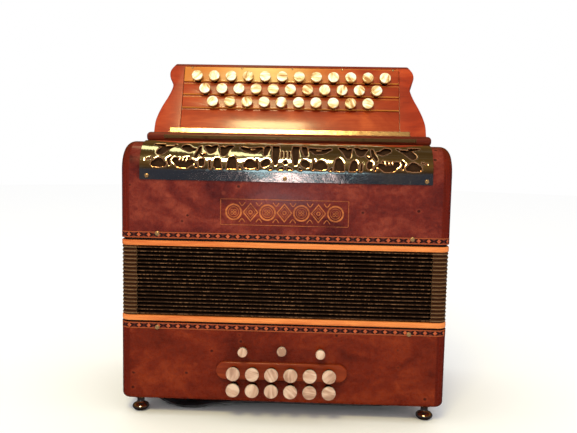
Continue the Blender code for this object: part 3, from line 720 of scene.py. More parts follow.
BLACK = plain("black_stem", srgb(24, 18, 16), 0.25, coat_weight=0.3)


# ---- casings -----------------------------------------------------------------------------------

def on_bend(angle, radius_y, radius_z):
    """(y, z) on the quarter-round over the grille, or on a curve round the same axis."""
    return (BEND_CENTRE[0] - radius_y * math.cos(angle), BEND_CENTRE[1] + radius_z * math.sin(angle))


def treble_section(x):
    """Points of the treble casing's skin at one place along it, from bottom front to bottom rear."""
    past_edge = max(abs(x) - (HALF_WIDTH - EDGE_RADIUS), 0.0)
    past_shoulder = max(abs(x) - (HALF_WIDTH - SHOULDER_RADIUS), 0.0)
    set_in = EDGE_RADIUS - math.sqrt(max(EDGE_RADIUS ** 2 - past_edge ** 2, 0.0))
    drop = SHOULDER_RADIUS - math.sqrt(max(SHOULDER_RADIUS ** 2 - past_shoulder ** 2, 0.0))
    front, rear, top = FRONT + set_in, HALF_DEPTH - set_in, TREBLE_TOP - drop
    low, high = WINDOW_ANGLES
    window = [low + (high - low) * i / WINDOW_STEPS for i in range(WINDOW_STEPS + 1)]
    points = [(front, TREBLE_BOTTOM)]
    for angle in [0, low / 2] + window + [(high + 90) / 2, 90]:
        points.append(on_bend(math.radians(angle), GRILLE_RADIUS - set_in, GRILLE_RADIUS - drop))
    points += [(y, top) for y in LEVER_SLOT_Y]
    radius = max(REAR_RADIUS - set_in, 0.0008)
    points += arc((rear - radius, top - radius), (radius, radius), 90, 0, 6)
    return [(x, y, z) for y, z in points + [(rear, TREBLE_BOTTOM)]]


def make_treble_casing():
    turns = [math.radians(90 * i / 9) for i in range(10)]
    rounding = [HALF_WIDTH - SHOULDER_RADIUS * (1 - math.sin(turn)) for turn in turns]
    half = [LEVER_SLOT_HALF_WIDTH, WINDOW_HALF_WIDTH] + rounding
    stations = [-x for x in reversed(half)] + half
    window_start = 3                                   # point of treble_section where the window begins
    slot_start = window_start + WINDOW_STEPS + 3

    def opening(i, j):
        middle = abs(stations[i] + stations[i + 1]) / 2
        in_window = window_start <= j < window_start + WINDOW_STEPS and middle < WINDOW_HALF_WIDTH
        return in_window or (j == slot_start and middle < LEVER_SLOT_HALF_WIDTH)

    shape = loft([treble_section(x) for x in stations], closed=False, skip=opening, capped=True)
    shell = modified(shape, SOLIDIFY={"thickness": WALL, "offset": -1.0})
    piece("treble_case", shell, TREBLE, TREBLE_BURL, replaces=["treble_casing"], slot="burl_veneer")


def make_bass_casing():
    soft = 0.005
    rounding = arc((soft, BASS_BOTTOM + soft), (soft, soft), 180, 270, 6)
    shell = wall_ring([(0, BASS_TOP)] + rounding + [(WALL, BASS_BOTTOM), (WALL, BASS_TOP)])
    holes = [drill(x, z, BASS_HOLE, FRONT_WALL) for x, z in bass_places()]
    holes += [drill(x, z, STOP_HOLE, FRONT_WALL, 20) for x, z in stop_places()]
    holes.append(drill(*AIR_BUTTON_PLACE, AIR_HOLE, REAR_WALL, 28))
    piece("bass_case", cut(shell, *holes), BASS, BASS_BURL, replaces=["bass_casing"], slot="burl_veneer")


def make_reed_shelf():
    """Shelf under the bellows opening with three rows of reed blocks on it."""
    low, high = BASS_TOP - 0.0127, BASS_TOP - 0.0077
    half_x, half_y, blocks_top = 0.100, 0.010, 0.120
    shelf = [inside_board(low, high)]
    for y in (-0.040, 0.0, 0.040):
        shelf.append(box((-half_x, y - half_y, high), (half_x, y + half_y, blocks_top)))
    piece("bass_reed_shelf", bevelled(joined(*shelf), 0.0006, 2), BASS, RAW_WOOD, slot="burl_veneer")


def inside_board(low, high):
    """Board that fits between the walls of the bass casing."""
    inner_x, inner_y = HALF_WIDTH - WALL - GAP, HALF_DEPTH - WALL - GAP
    return box((-inner_x, -inner_y, low), (inner_x, inner_y, high))


def make_frame(name, body, low, high, seal):
    """Bellows frame with softened outer edges, and the dark seal between it and its casing."""
    soft, slack = 0.0007, 0.0001
    section = [(FRAME_WIDTH, low), (soft, low), (soft * 0.3, low + soft * 0.3), (0, low + soft),
               (0, high - soft), (soft * 0.3, high - soft * 0.3), (soft, high), (FRAME_WIDTH, high)]
    piece(f"{name}_frame", wall_ring(section), body, FRAME_WOOD, replaces=[f"{name}_bellows_frame"],
          slot="frame_wood")
    foot, head = seal[0] + slack, seal[1] - slack
    section = [(FRAME_WIDTH, foot), (SEAL_INSET, foot), (SEAL_INSET, head), (FRAME_WIDTH, head)]
    piece(f"{name}_seal", wall_ring(section), body, SEAL_LEATHER, slot="frame_wood")


def make_frames():
    bass_low, treble_high = BASS_TOP + BASS_SEAL, TREBLE_BOTTOM - TREBLE_SEAL
    make_frame("bass", BASS, bass_low, BELLOWS_LOW, (BASS_TOP, bass_low))
    make_frame("treble", TREBLE, BELLOWS_HIGH, treble_high, (treble_high, TREBLE_BOTTOM))


def make_bands():
    """Inlaid bands, a hair proud of the casings. Their UV height starts at the band's own foot."""
    sunk = 0.0003
    lows = (("bass", BASS, BASS_TOP - BAND_HEIGHT), ("treble", TREBLE, TREBLE_BOTTOM + 0.0002))
    for name, body, low in lows:
        high = low + BAND_HEIGHT
        shape = wall_ring([(-BAND_PROUD, low), (-BAND_PROUD, high), (sunk, high), (sunk, low)])
        uv = shape.loops.layers.uv["run"]
        for face in shape.faces:
            for loop in face.loops:
                loop[uv].uv.y -= low
        piece(f"{name}_inlay_band", shape, body, INLAY, slot="burl_veneer")


def ribbon(path, width, closed=False):
    """Flat strip along (x, z) points, facing the front."""
    points = [Vector((x, z)) for x, z in path]
    shape = bmesh.new()
    pairs = []
    for i, point in enumerate(points):
        before = points[i - 1] if i or closed else point
        after = points[(i + 1) % len(points)] if i < len(points) - 1 or closed else point
        way = (after - before).normalized()
        side = Vector((-way.y, way.x)) * width / 2
        pairs.append([shape.verts.new((p.x, 0, p.y)) for p in (point + side, point - side)])
    last = len(pairs) if closed else len(pairs) - 1
    for i in range(last):
        a, b = pairs[i], pairs[(i + 1) % len(pairs)]
        shape.faces.new((a[0], a[1], b[1], b[0]))
    return shape


def ring_line(x, z, radius, width, steps=32):
    """Flat ring round (x, z), facing the front."""
    return ribbon(arc((x, z), (radius, radius), 0, 360 * (steps - 1) / steps, steps - 1), width, True)


def rosette(x, bold, fine):
    """Two rings round a knot of four small ones."""
    lines = [ring_line(x, 0, 0.0074, bold), ring_line(x, 0, 0.0050, fine)]
    reach = 0.0020
    for angle in [math.radians(45 + 90 * turn) for turn in range(4)]:
        lines.append(ring_line(x + reach * math.cos(angle), reach * math.sin(angle), 0.0012, fine, 16))
    return lines


def lozenge(x, bold, fine):
    """Two lozenges round a small ring."""
    lines = []
    for reach, width in ((0.0086, bold), (0.0056, fine)):
        corners = ((reach, 0), (0, reach), (-reach, 0), (0, -reach))
        lines.append(ribbon([(x + 0.82 * a, b) for a, b in corners], width, True))
    return lines + [ring_line(x, 0, 0.0016, bold * 0.6, 20)]


def make_marquetry():
    """Gold line panel with an abstract row of rosettes and lozenges."""
    bold, fine, pitch = 0.0016, 0.0005, 0.0166
    lines = [ribbon(rounded_outline(*NAME_PANEL_HALF, 0.0006, steps=2), fine, True)]
    for place in range(-3, 4):
        lines += rosette(place * pitch, bold, fine) if place % 2 else lozenge(place * pitch, bold, fine)
    for place in range(-3, 3):
        x = (place + 0.5) * pitch
        for side in (-1, 1):
            sprig = [(x - 0.0030, side * 0.0098), (x, side * 0.0064), (x + 0.0030, side * 0.0098)]
            lines.append(ribbon([tuple(p) for p in smooth_path(sprig)], 0.0008))
    shape = joined(*lines)
    bmesh.ops.recalc_face_normals(shape, faces=shape.faces)
    bmesh.ops.translate(shape, vec=(0, FRONT - 0.00008, NAME_PANEL_Z), verts=shape.verts)
    solid = modified(shape, SOLIDIFY={"thickness": 0.00012, "offset": 0.0})
    piece("marquetry_panel", solid, TREBLE, GOLD_INLAY, slot="burl_veneer")


def add_screw(name, body, radius, turn_deg, place):
    """Slotted round-headed screw, made along +Z with its seat at z = 0."""
    head = spin(((radius, 0.0), (radius, radius * 0.12), (radius * 0.86, radius * 0.38),
                 (radius * 0.55, radius * 0.56), (0, radius * 0.62)), 20)
    half = radius * 0.14
    slot = box((-radius * 1.2, -half, radius * 0.34), (radius * 1.2, half, radius),
               Matrix.Rotation(math.radians(turn_deg), 4, "Z"))
    piece(name, cut(head, slot), body, SCREW_METAL, place=place, slot="steel")


def make_pins():
    """Pins that hold the bellows frames in the casings."""
    profile = ((0.0014, -0.0004), (0.0021, 0.0), (0.0024, 0.0006), (0.0020, 0.0014), (0.0010, 0.0019),
               (0, 0.0020))
    for body, z, name in ((BASS, BASS_TOP - 0.0048, "bass"), (TREBLE, TREBLE_BOTTOM + 0.0050, "treble")):
        for side_y, name_y in FRONT_REAR:
            turn = OUTWARD if side_y < 0 else BACKWARD
            for side_x, name_x in LEFT_RIGHT:
                at = Matrix.Translation((side_x * PIN_X, side_y * (HALF_DEPTH + 0.0001), z))
                pin = spin(profile, 20, at @ turn)
                piece(f"{name}_{name_y}_pin_{name_x}", pin, body, SCREW_METAL, slot="steel")


# ---- grille ------------------------------------------------------------------------------------

GRILLE_CELL = 0.75               # mesh size, in millimetres like all the numbers of the openings
BEND_START = -2.0                # height where the sheet starts to bend
RIM_WIDTH = 0.45
# x, z and the slot's turn in degrees
GRILLE_SCREWS = ((-0.1352, 0.2433, 20), (0, 0.2427, 75), (0.1368, 0.2428, 130))
# Openings of the right half: strokes of (x, height above the plain band, radius).
GRILLE_OPENINGS = (
    ((0, 13.5, 0.9), (0, 19.5, 0.9)), ((3.6, 13.5, 0.9), (3.6, 19.5, 0.9)), ((0, 7.6, 1.9), (0, 8.4, 1.9)),
    ((3.0, 2.2, 1.5), (6.0, 1.6, 1.0)),
    ((9.6, 7.0, 2.0), (9.9, 13, 3.2), (9.4, 20, 3.6), (10.0, 28, 3.6)),
    ((17.8, 27, 2.8), (18.6, 22, 3.0), (19.8, 16.5, 2.0)), ((18.4, 7.6, 3.6), (20.8, 6.0, 3.2)),
    ((13.8, 2.0, 1.2), (15.4, 1.2, 0.8)),
    ((24.8, 24, 2.8), (30, 21.5, 4.4), (37.6, 21.5, 3.2), (43.0, 24.5, 2.2)),
    ((31.0, 5.0, 3.4), (34.6, 5.8, 5.0), (38.2, 4.4, 2.8)), ((27.0, 2.0, 1.2), (27.8, 10.5, 0.8)),
    ((43.8, 1.2, 1.4), (45.0, 3.0, 0.8)),
    ((49.0, 1.0, 1.8), (49.8, 6.0, 2.6), (51.8, 10.2, 3.6), (54.4, 6.0, 2.4), (55.6, 1.0, 1.8)),
    ((52.0, 3.0, 2.6), (52.0, 7.0, 3.0)),
    ((54.6, 27, 3.2), (59.0, 22.5, 4.4), (60.6, 16, 3.0), (63.2, 25, 2.0)),
    ((63.6, 1.0, 1.8), (64.2, 5.0, 2.0), (66.6, 8.6, 3.0), (68.6, 4.0, 1.8)),
    ((66.2, 2.0, 2.2), (66.2, 6.0, 2.4)),
    ((69.4, 27, 2.6), (73.0, 20.5, 4.6), (77.6, 25, 2.8)),
    ((73.2, 1.0, 1.2), (74.0, 7.5, 0.9)),
    ((79.0, 15.6, 1.2), (81.6, 13.4, 1.4), (84.0, 15.6, 0.9)),
    ((81.6, 5.2, 2.8), (81.8, 8.0, 2.9)),
    ((84.2, 25, 1.4), (85.0, 18.5, 2.0), (88.2, 12.6, 1.5)),
    ((89.6, 21, 1.8), (94.0, 20.6, 3.4), (98.6, 24.5, 4.4)),
    ((91.6, 6.4, 2.6), (97.0, 4.8, 4.2), (103, 5.8, 4.9), (108.0, 8.2, 2.8)),
    ((94.0, 10.6, 1.0), (98.6, 9.4, 1.2)),
    ((86.6, 2.6, 1.2), (88.2, 5.6, 0.8)),
    ((109.0, 27, 1.6), (114.0, 24, 2.6), (120.0, 20.5, 4.4), (123.4, 17.0, 3.8)),
    ((122.0, 27, 3.0), (129.0, 28, 2.0)),
    ((112.4, 11.6, 1.0), (114.6, 8.6, 1.4), (113.0, 4.0, 1.2)),
    ((118.8, 4.2, 2.6), (123.6, 5.8, 4.8), (128.6, 4.6, 3.2)), ((132.0, 10.0, 0.7), (137.0, 8.6, 0.4)),
)
GRILLE_LIMITS = (0.5, 29.5)      # lowest and highest place of an opening
# Metal scrolls that stay standing inside the openings.
GRILLE_SCROLLS = (
    ((96.4, 10.6, 0.6), (97.2, 7.4, 0.9)), ((100.0, 11.0, 0.6), (100.6, 8.0, 0.9)),
    ((103.6, 10.6, 0.6), (103.8, 8.0, 0.8)),
    ((119.0, 30.0, 1.3), (115.5, 27.2, 1.0), (111.0, 26.6, 0.7)), ((58.6, 31.0, 0.8), (60.4, 26.0, 0.7)),
    ((33.8, 22.6, 0.9), (30.4, 22.8, 0.6)),
)


def stroke_depth(x, v, stroke):
    """How far (x, v) lies inside a stroke, negative outside it."""
    deepest = -1e3
    for (ax, av, ar), (bx, bv, br) in zip(stroke, stroke[1:]):
        dx, dv = bx - ax, bv - av
        t = max(0.0, min(1.0, ((x - ax) * dx + (v - av) * dv) / (dx * dx + dv * dv)))
        distance = math.hypot(x - ax - t * dx, v - av - t * dv)
        deepest = max(deepest, ar + (br - ar) * t - distance)
    return deepest


def opening_depth(x, v):
    """How far a point of the grille, in millimetres, lies inside an opening."""
    x = abs(x)
    low, high = GRILLE_LIMITS
    if v < low - 2 or v > high + 3.5 or x > 140:
        return -3.0
    depth = max(stroke_depth(x, v, stroke) for stroke in GRILLE_OPENINGS if near(x, stroke))
    for stroke in GRILLE_SCROLLS:
        if near(x, stroke):
            depth = min(depth, -stroke_depth(x, v, stroke))
    return min(depth, v - low, high - v)


def near(x, stroke):
    """Whether a stroke can matter at x. The first opening always counts, so that there is a largest depth."""
    reach = 8
    xs = [point[0] for point in stroke]
    return stroke is GRILLE_OPENINGS[0] or min(xs) - reach < x < max(xs) + reach


def grille_point(x, v, out):
    """World point on the grille, from x, height above the plain band and distance off the sheet."""
    run = (v - BEND_START) / 1000
    radius = GRILLE_RADIUS + GAP
    x, out = x / 1000, out / 1000
    angle = run / radius
    if run <= 0:
        y, z = BEND_CENTRE[0] - radius - out, BEND_CENTRE[1] + run
    elif angle <= math.pi / 2:
        y, z = on_bend(angle, radius + out, radius + out)
    else:
        y, z = BEND_CENTRE[0] + run - radius * math.pi / 2, BEND_CENTRE[1] + radius + out
    return (x, y, z)


def clipped(corners):
    """The part of a cell where the depth is negative. Corners are (x, v, depth)."""
    kept = []
    for a, b in zip(corners, corners[1:] + corners[:1]):
        if a[2] < 0:
            kept.append(a)
        if (a[2] < 0) != (b[2] < 0):
            t = a[2] / (a[2] - b[2])
            kept.append(tuple(p + (q - p) * t for p, q in zip(a, b)))
    return kept


def grille_sheet():
    """The pierced sheet, whose metal is pressed down towards the rims of its openings."""
    half = GRILLE_HALF_WIDTH * 1000
    columns = round(2 * half / GRILLE_CELL)
    foot = (GRILLE_BOTTOM - BEND_CENTRE[1]) * 1000 + BEND_START
    head = (GRILLE_RADIUS + GAP) * 1000 * math.pi / 2 + GRILLE_TAIL * 1000 + BEND_START
    rows = round((head - foot) / GRILLE_CELL)
    xs = [-half + 2 * half * i / columns for i in range(columns + 1)]
    vs = [foot + (head - foot) * i / rows for i in range(rows + 1)]
    depths = [[opening_depth(x, v) for v in vs] for x in xs]
    shape = bmesh.new()
    # Nearness to a rim: it presses the metal down and brings in the chrome's painted orange reflection.
    rim = shape.verts.layers.float.new("rim")

    def corner(x, v, depth):
        nearness = math.exp(-(max(-depth, 0.0) / RIM_WIDTH) ** 1.5)
        wavy = 0.16 * noise.noise(Vector((x / 26, v / 14, 0.5)))
        vertex = shape.verts.new(grille_point(x, v, 0.5 + wavy - 0.28 * nearness))
        vertex[rim] = nearness
        return vertex

    for i in range(columns):
        for j in range(rows):
            around = ((i, j), (i + 1, j), (i + 1, j + 1), (i, j + 1))
            kept = clipped([(xs[a], vs[b], depths[a][b]) for a, b in around])
            if len(kept) > 2:
                shape.faces.new([corner(*point) for point in kept])
    bmesh.ops.remove_doubles(shape, verts=shape.verts, dist=2e-6)
    bmesh.ops.dissolve_degenerate(shape, edges=shape.edges, dist=1e-6)
    bmesh.ops.recalc_face_normals(shape, faces=shape.faces)
    return modified(shape, SOLIDIFY={"thickness": GRILLE_SHEET, "offset": 0.0})


def make_grille_cloth():
    """Cloth stretched behind the window, just inside the quarter-round."""
    low, high = math.radians(WINDOW_ANGLES[0] - 2), math.radians(WINDOW_ANGLES[1] + 8)
    radius = GRILLE_RADIUS - 0.0022
    up, across = 16, 40
    rings = []
    for i in range(up + 1):
        y, z = on_bend(low + (high - low) * i / up, radius, radius)
        rings.append([(GRILLE_CLOTH_WIDTH * (j / across - 0.5), y, z) for j in range(across + 1)])
    backing = piece("grille_backing_cloth", loft(rings, closed=False), TREBLE, GRILLE_CLOTH,
                    slot="grille_chrome")


def make_grille():
    piece("filigree_grille", grille_sheet(), TREBLE, CHROME, replaces=["treble_grille"], slot="grille_chrome",
          sharp_deg=60)
    make_grille_cloth()
    for number, (x, z, turn) in enumerate(GRILLE_SCREWS):
        place = Matrix.Translation((x, FRONT - GAP - 0.0012, z)) @ OUTWARD
        add_screw(f"grille_screw_{number + 1}", TREBLE, 0.0021, turn, place)


# ---- fingerboard and treble keys ---------------------------------------------------------------

def row_places(row):
    """The x of each button in a row of the treble keys."""
    count = KEY_ROWS[row][0]
    return [(number - (count - 1) / 2) * KEY_PITCH for number in range(count)]


def button_holes(row):
    return [drill(x, KEY_ROWS[row][1], KEY_HOLE, (-0.008, 0.004)) for x in row_places(row)]


def fingerboard_solid():
    """Board with curved cheeks, hollow behind, with a shallow recess and the button holes."""
    side = [(p.y, p.x) for p in smooth_path(BOARD_SIDE, 5)]
    outline = side + [(-x, z) for x, z in reversed(side)]
    solid = bevelled(prism(outline, (0.0, BOARD_DEPTH)), 0.0014, 4)
    big = 0.4
    below = box((-big, -big, PLATE_Z[1] - big), (big, big, PLATE_Z[1] - 0.0002), BOARD.inverted())
    cavity = box((-CAVITY_HALF_WIDTH, BOARD_SKIN, -0.05),
                 (CAVITY_HALF_WIDTH, BOARD_DEPTH - BOARD_SKIN, BOARD_TOP - BOARD_SKIN))
    half, top, soft = PANEL_HALF_WIDTH, PANEL_TOP, 0.004
    panel = [(-half, -0.01), (half, -0.01)]
    for side, start in ((1, 0), (-1, 90)):
        panel += arc((side * (half - soft), top - soft), (soft, soft), start, start + 90, 6)
    holes = [hole for row in range(len(KEY_ROWS)) for hole in button_holes(row)]
    return cut(cut(cut(solid, below, cavity), prism(panel, (-0.01, PANEL_RECESS))), *holes)


def slat(low, high, face, bevel):
    """Rounded board across the recess, between two heights, with its face at y = `face`."""
    half = PANEL_HALF_WIDTH - 0.0004
    return bevelled(box((-half, face, low), (half, PANEL_RECESS - 0.0001, high)), bevel, 4)


def make_fingerboard():
    piece("fingerboard_body", fingerboard_solid(), TREBLE, BOARD_WOOD, place=BOARD, replaces=["fingerboard"],
          slot="fingerboard_wood")
    for row, (low, high) in enumerate(SLATS):
        board = cut(slat(low, high, -0.0002, 0.0011), *button_holes(row))
        piece(f"fingerboard_slat_{row + 1}", board, TREBLE, PANEL_WOOD, place=BOARD, slot="fingerboard_wood")
    piece("fingerboard_plain_panel", slat(*PLAIN_SLAT, 0.0002, 0.0010), TREBLE, PANEL_WOOD, place=BOARD,
          slot="fingerboard_wood")
    pitch, height = 0.0558, 0.0786
    for number in range(5):
        place = BOARD @ Matrix.Translation(((number - 2) * pitch + 0.001, -0.0002, height)) @ OUTWARD
        add_screw(f"fingerboard_screw_{number + 1}", TREBLE, 0.0013, 35 * number, place)


def make_base_plate():
    """The plate that the fingerboard stands on, and the two metal strips at its foot."""
    (near, far), (low, high) = PLATE_Y, PLATE_Z
    plate = bevelled(box((-PLATE_HALF_WIDTH, near, low), (PLATE_HALF_WIDTH, far, high)), 0.0042, 6)
    well = box((-CAVITY_HALF_WIDTH, -0.004, low - 0.01), (CAVITY_HALF_WIDTH, 0.022, high + 0.01))
    piece("fingerboard_plate", cut(plate, well), TREBLE, PLATE_WOOD, slot="fingerboard_wood")

    left, right = -0.130, 0.133
    strip = bevelled(box((left, near - 0.0009, low + 0.0034), (right, near + 0.0004, low + 0.0074)), 0.0006)
    piece("plate_front_strip", strip, TREBLE, BRASS, sharp_deg=15, slot="steel")
    leaf = box((left, -0.0010, 0.0004), (-left, 0.0004, 0.0056), BOARD)
    foot = box((left, -0.0205, high), (-left, -0.0130, high + 0.0008))
    strip = bevelled(joined(leaf, foot), 0.0003, 2)
    piece("board_foot_strip", strip, TREBLE, BRIGHT_METAL, sharp_deg=15, slot="steel")


def key_button(on_board):
    """Pearl cap on its dark stem."""
    under, soft, round_over = CAP_FACE - CAP_THICKNESS, 0.0006, 0.0011
    cap = [(0.0022, under), (CAP_RADIUS - soft, under)]
    cap += arc((CAP_RADIUS - soft, under + soft), (soft, soft), -90, 0, 3)
    cap += arc((CAP_RADIUS - round_over, CAP_FACE - round_over), (round_over, round_over), 0, 80, 6)
    cap += [(CAP_RADIUS * 0.55, CAP_FACE - 0.00004), (CAP_RADIUS * 0.2, CAP_FACE), (0, CAP_FACE)]
    collar = STEM_RADIUS + 0.0004
    stem = ((STEM_RADIUS, LEVER_FACES[0] - 0.001), (STEM_RADIUS, under - 0.0008), (collar, under - 0.0006),
            (collar, under + 0.0002))
    return [spin(cap, 28, on_board, 0), spin(stem, 20, on_board, 1)]


def key_lever(along, shift, pallet_y):
    """Flat lever from under the board to its pallet, with the hub that turns on the axle."""
    half = LEVER_THICKNESS / 2
    front, back = LEVER_FACES
    low, high = PALLET_ARM_Z

    def on_face(height, out):
        point = BOARD @ Vector((0, -out, height))
        return (point.y, point.z)

    tip, tail = along + 0.003, pallet_y - 0.003
    outline = [on_face(tip, front), on_face(tip, back), on_face(-0.025, back), (AXLE.y + 0.0028, low),
               (tail, low), (tail, high), (AXLE.y - 0.006, high), on_face(-0.021, front)]
    lever = loft([[(x, y, z) for y, z in outline] for x in (shift - half, shift + half)], capped=True)
    left, right = shift - half - 0.0005, shift + half + 0.0005
    hub = spin(((AXLE_HOLE, left), (HUB_RADIUS, left), (HUB_RADIUS, right), (AXLE_HOLE, right)), 16,
               Matrix.Translation(AXLE) @ SIDEWAYS, KEY_METAL)
    return [painted(lever, KEY_METAL), hub]


def key_pallet(shift, y):
    """Wooden pallet with felt and leather under it, on a short post."""
    lowest, top = PALLET_Z
    levels = (top, lowest + 0.0020, lowest + 0.0008, lowest)
    half = PALLET_HALF
    post = ((0.0012, top), (0.0012, PALLET_ARM_Z[0]))
    shapes = [spin(post, 10, Matrix.Translation((shift, y, 0)), KEY_METAL)]
    for layer, (high, low) in enumerate(zip(levels, levels[1:])):
        corners = (shift - half, y - half, low), (shift + half, y + half, high)
        shapes.append(box(*corners, look=KEY_METAL + 1 + layer))
    return shapes


def key_shape(row):
    """One treble key at x = 0. A lever that is shifted sideways is tied to its button by a small block."""
    along, shift, pallet_y = KEY_ROWS[row][1], LEVER_SHIFTS[row], PALLET_ROWS_Y[row]
    on_board = BOARD @ Matrix.Translation((0, 0, along))
    shapes = key_button(on_board @ OUTWARD) + key_lever(along, shift, pallet_y) + key_pallet(shift, pallet_y)
    if shift:
        front, back = LEVER_FACES
        low = (-STEM_RADIUS, -front - 0.0005, -0.0028)
        high = (shift + LEVER_THICKNESS / 2, -back, 0.0028)
        shapes.append(box(low, high, on_board, KEY_METAL))
    return joined(*shapes)


def seeded(mesh, value, axis, radius):
    """Marks a button's mesh: one seed, which turns its pearl, and how near the cap's rim each point is.

    `axis` is the place of the button's own +Z line.
    """
    seeds = mesh.attributes.new("seed", "FLOAT", "POINT")
    seeds.data.foreach_set("value", [value] * len(mesh.vertices))
    inward = axis.inverted()
    plain_share = 0.80
    nearness = []
    for vertex in mesh.vertices:
        local = inward @ vertex.co
        nearness.append(max(0.0, math.hypot(local.x, local.y) / radius - plain_share) / (1 - plain_share))
    mesh.attributes.new("edge", "FLOAT", "POINT").data.foreach_set("value", nearness)
    return mesh


def make_keys():
    rng = random.Random(11)
    looks = (TREBLE_PEARL, BLACK, STEEL, RAW_WOOD, FELT, SEAL_LEATHER)
    for row, (_, along) in enumerate(KEY_ROWS):
        pattern = mesh_of(key_shape(row))
        on_board = BOARD @ Matrix.Translation((0, 0, along)) @ OUTWARD
        for number, x in enumerate(row_places(row)):
            name = f"treble_key_{row + 1}_{number + 1:02d}"
            mesh = seeded(pattern.copy(), rng.random(), on_board, CAP_RADIUS)
            piece(f"{name}_detail", mesh, f"{name}_body", *looks, place=Matrix.Translation((x, 0, 0)),
                  replaces=[name], slot="treble_pearl")


# ---- bellows -----------------------------------------------------------------------------------

def corner_run(side_x, side_y, inset, z):
    """Points round one upright corner, CLIP_REACH along each side."""
    radius = max(EDGE_RADIUS - inset, LEAST_RADIUS)
    x, y = side_x * (HALF_WIDTH - inset), side_y * (HALF_DEPTH - inset)
    turn = math.degrees(math.atan2(side_y, side_x)) - 45
    start, end = (x, side_y * (HALF_DEPTH - CLIP_REACH)), (side_x * (HALF_WIDTH - CLIP_REACH), y)
    points = arc((x - side_x * radius, y - side_y * radius), (radius, radius), turn, turn + 90, 5)
    if side_x * side_y < 0:
        start, end = end, start
    return [(a, b, z) for a, b in [start] + points + [end]]


def corner_clips(middle, pitch):
    """The four metal corners pressed round one fold's ridge, with a raised bead along the ridge."""
    half, bead, lip = pitch / 2 - 0.00025, 0.0003, 0.0052
    # (inset, height over the ridge) up one half of the outside, then the same upside down
    upper = ((0.0001, bead * 0.5), (0.0006, bead), (0.0006, half * 0.75), (0.0012, half), (lip, half))
    outside = [(inset, middle - height) for inset, height in reversed(upper)]
    outside += [(inset, middle + height) for inset, height in upper]
    section = outside + [(lip, middle + half - 0.0003), (0.0018, middle), (lip, middle - half + 0.0003)]
    # The bead is plain bronze; the flanks and the inside take its darker copy, painted shade.
    looks = [CLIP_FLANK_LOOK] * 3 + [CLIP_LOOK] * 3 + [CLIP_FLANK_LOOK] * 7
    clips = []
    for side_x in (-1, 1):
        for side_y in (-1, 1):
            runs = [corner_run(side_x, side_y, inset, z) for inset, z in section]
            clip = loft([list(points) for points in zip(*runs)], capped=True, looks=looks)
            for end in clip.faces[-2:]:
                end.material_index = CLIP_LOOK
            clips.append(clip)
    return clips


def smoothstep_inverse(value):
    """Where the blend's smooth step reaches this value."""
    return 0.5 - math.sin(math.asin(1 - 2 * value) / 3)


def fold_shape(low, pitch):
    """One fold: its two leaves, the tape round its ridge and its corner clips."""
    middle, tape_inset, ridge = low + pitch / 2, 0.0034, 0.0003

    def leaf(sign):
        """Points from the ridge inwards, on the upper (+1) or lower (-1) side."""
        points = []
        for inset, proud in ((0.0006, 0.00032), (0.0014, 0.0002), (tape_inset, 0.00012), (tape_inset, 0.0),
                             (FOLD_DEPTH, 0.0)):
            share = (inset - ridge) / (FOLD_DEPTH + ridge)
            points.append((inset, middle + sign * (share * (pitch / 2 - 0.0001) + proud)))
        return points

    valley = FOLD_DEPTH + 0.0022
    section = leaf(-1)[::-1] + [(ridge, middle)] + leaf(1)
    section += [(valley, low + pitch + VALLEY_LAP), (tape_inset + 0.002, middle), (valley, low - VALLEY_LAP)]
    looks = [CLOTH_LOOK] + [TAPE_LOOK] * 3 + [WORN_LOOK] * 2 + [TAPE_LOOK] * 3 + [CLOTH_LOOK] * 5
    return joined(wall_ring(section, looks), *corner_clips(middle, pitch))


def make_bellows():
    """Eighteen folds, each left where it is made."""
    pitch = (BELLOWS_HIGH - BELLOWS_LOW) / FOLDS
    for fold in range(FOLDS):
        low = BELLOWS_LOW + fold * pitch
        thing = piece(f"bellows_fold_{fold + 1:02d}", fold_shape(low, pitch), None, BELLOWS_CLOTH, RIDGE_TAPE,
                      WORN_RIDGE, BRONZE, SHADED_CLIP_FLANK, slot="bellows_cloth", sharp_deg=50)
        t_low, t_high = smoothstep_inverse(fold / FOLDS), smoothstep_inverse((fold + 1) / FOLDS)
        length = pitch / (t_high - t_low)
        start = low - t_low * length
        start + length
        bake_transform(thing)
        if fold == 0:
            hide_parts("bellows")


# ---- bass buttons, stops, air button -----------------------------------------------------------

def box_middle(name):
    """x and z of the middle of a node's box."""
    low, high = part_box(name)
    return (low.x / 2 + high.x / 2, (low.z + high.z) / 2)


def bass_places():
    return [(box_middle(f"bass_button_{row}_{number}")[0], BASS_ROW_Z[row - 1])
            for row in (1, 2) for number in range(1, 7)]


def stop_places():
    return [box_middle(f"register_stop_{number}") for number in (1, 2, 3)]


def pearl_button(radius, thickness, stem_radius, stem_length, crown, facing):
    """Cap with a softened rim on a stem, with the middle of its face at the origin."""
    soft, round_over = radius * 0.13, radius * 0.13 * 1.2
    cap = [(stem_radius * 0.7, -thickness), (radius - soft, -thickness)]
    cap += arc((radius - soft, -thickness + soft), (soft, soft), -90, 0, 3)
    cap += arc((radius - round_over, -round_over - crown), (round_over, round_over), 0, 78, 6)
    cap += [(radius * 0.68, -crown * 0.5), (radius * 0.4, -crown * 0.15), (0, 0)]
    stem = ((stem_radius, -stem_length), (stem_radius, -thickness + 0.0003))
    return joined(spin(cap, 32, facing, 0), spin(stem, 20, facing, 1))


def make_button(name, place, sizes, seed, stem_look, facing=OUTWARD):
    """One pearl button at (x, z). `sizes` are those of pearl_button."""
    low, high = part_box(name)
    face = low.y if facing == OUTWARD else high.y
    mesh = seeded(mesh_of(pearl_button(*sizes, facing)), seed, facing, sizes[0])
    piece(f"{name}_detail", mesh, f"{name}_body", BASS_PEARL, stem_look,
          place=Matrix.Translation((place[0], face, place[1])), replaces=[name], slot="bass_pearl")


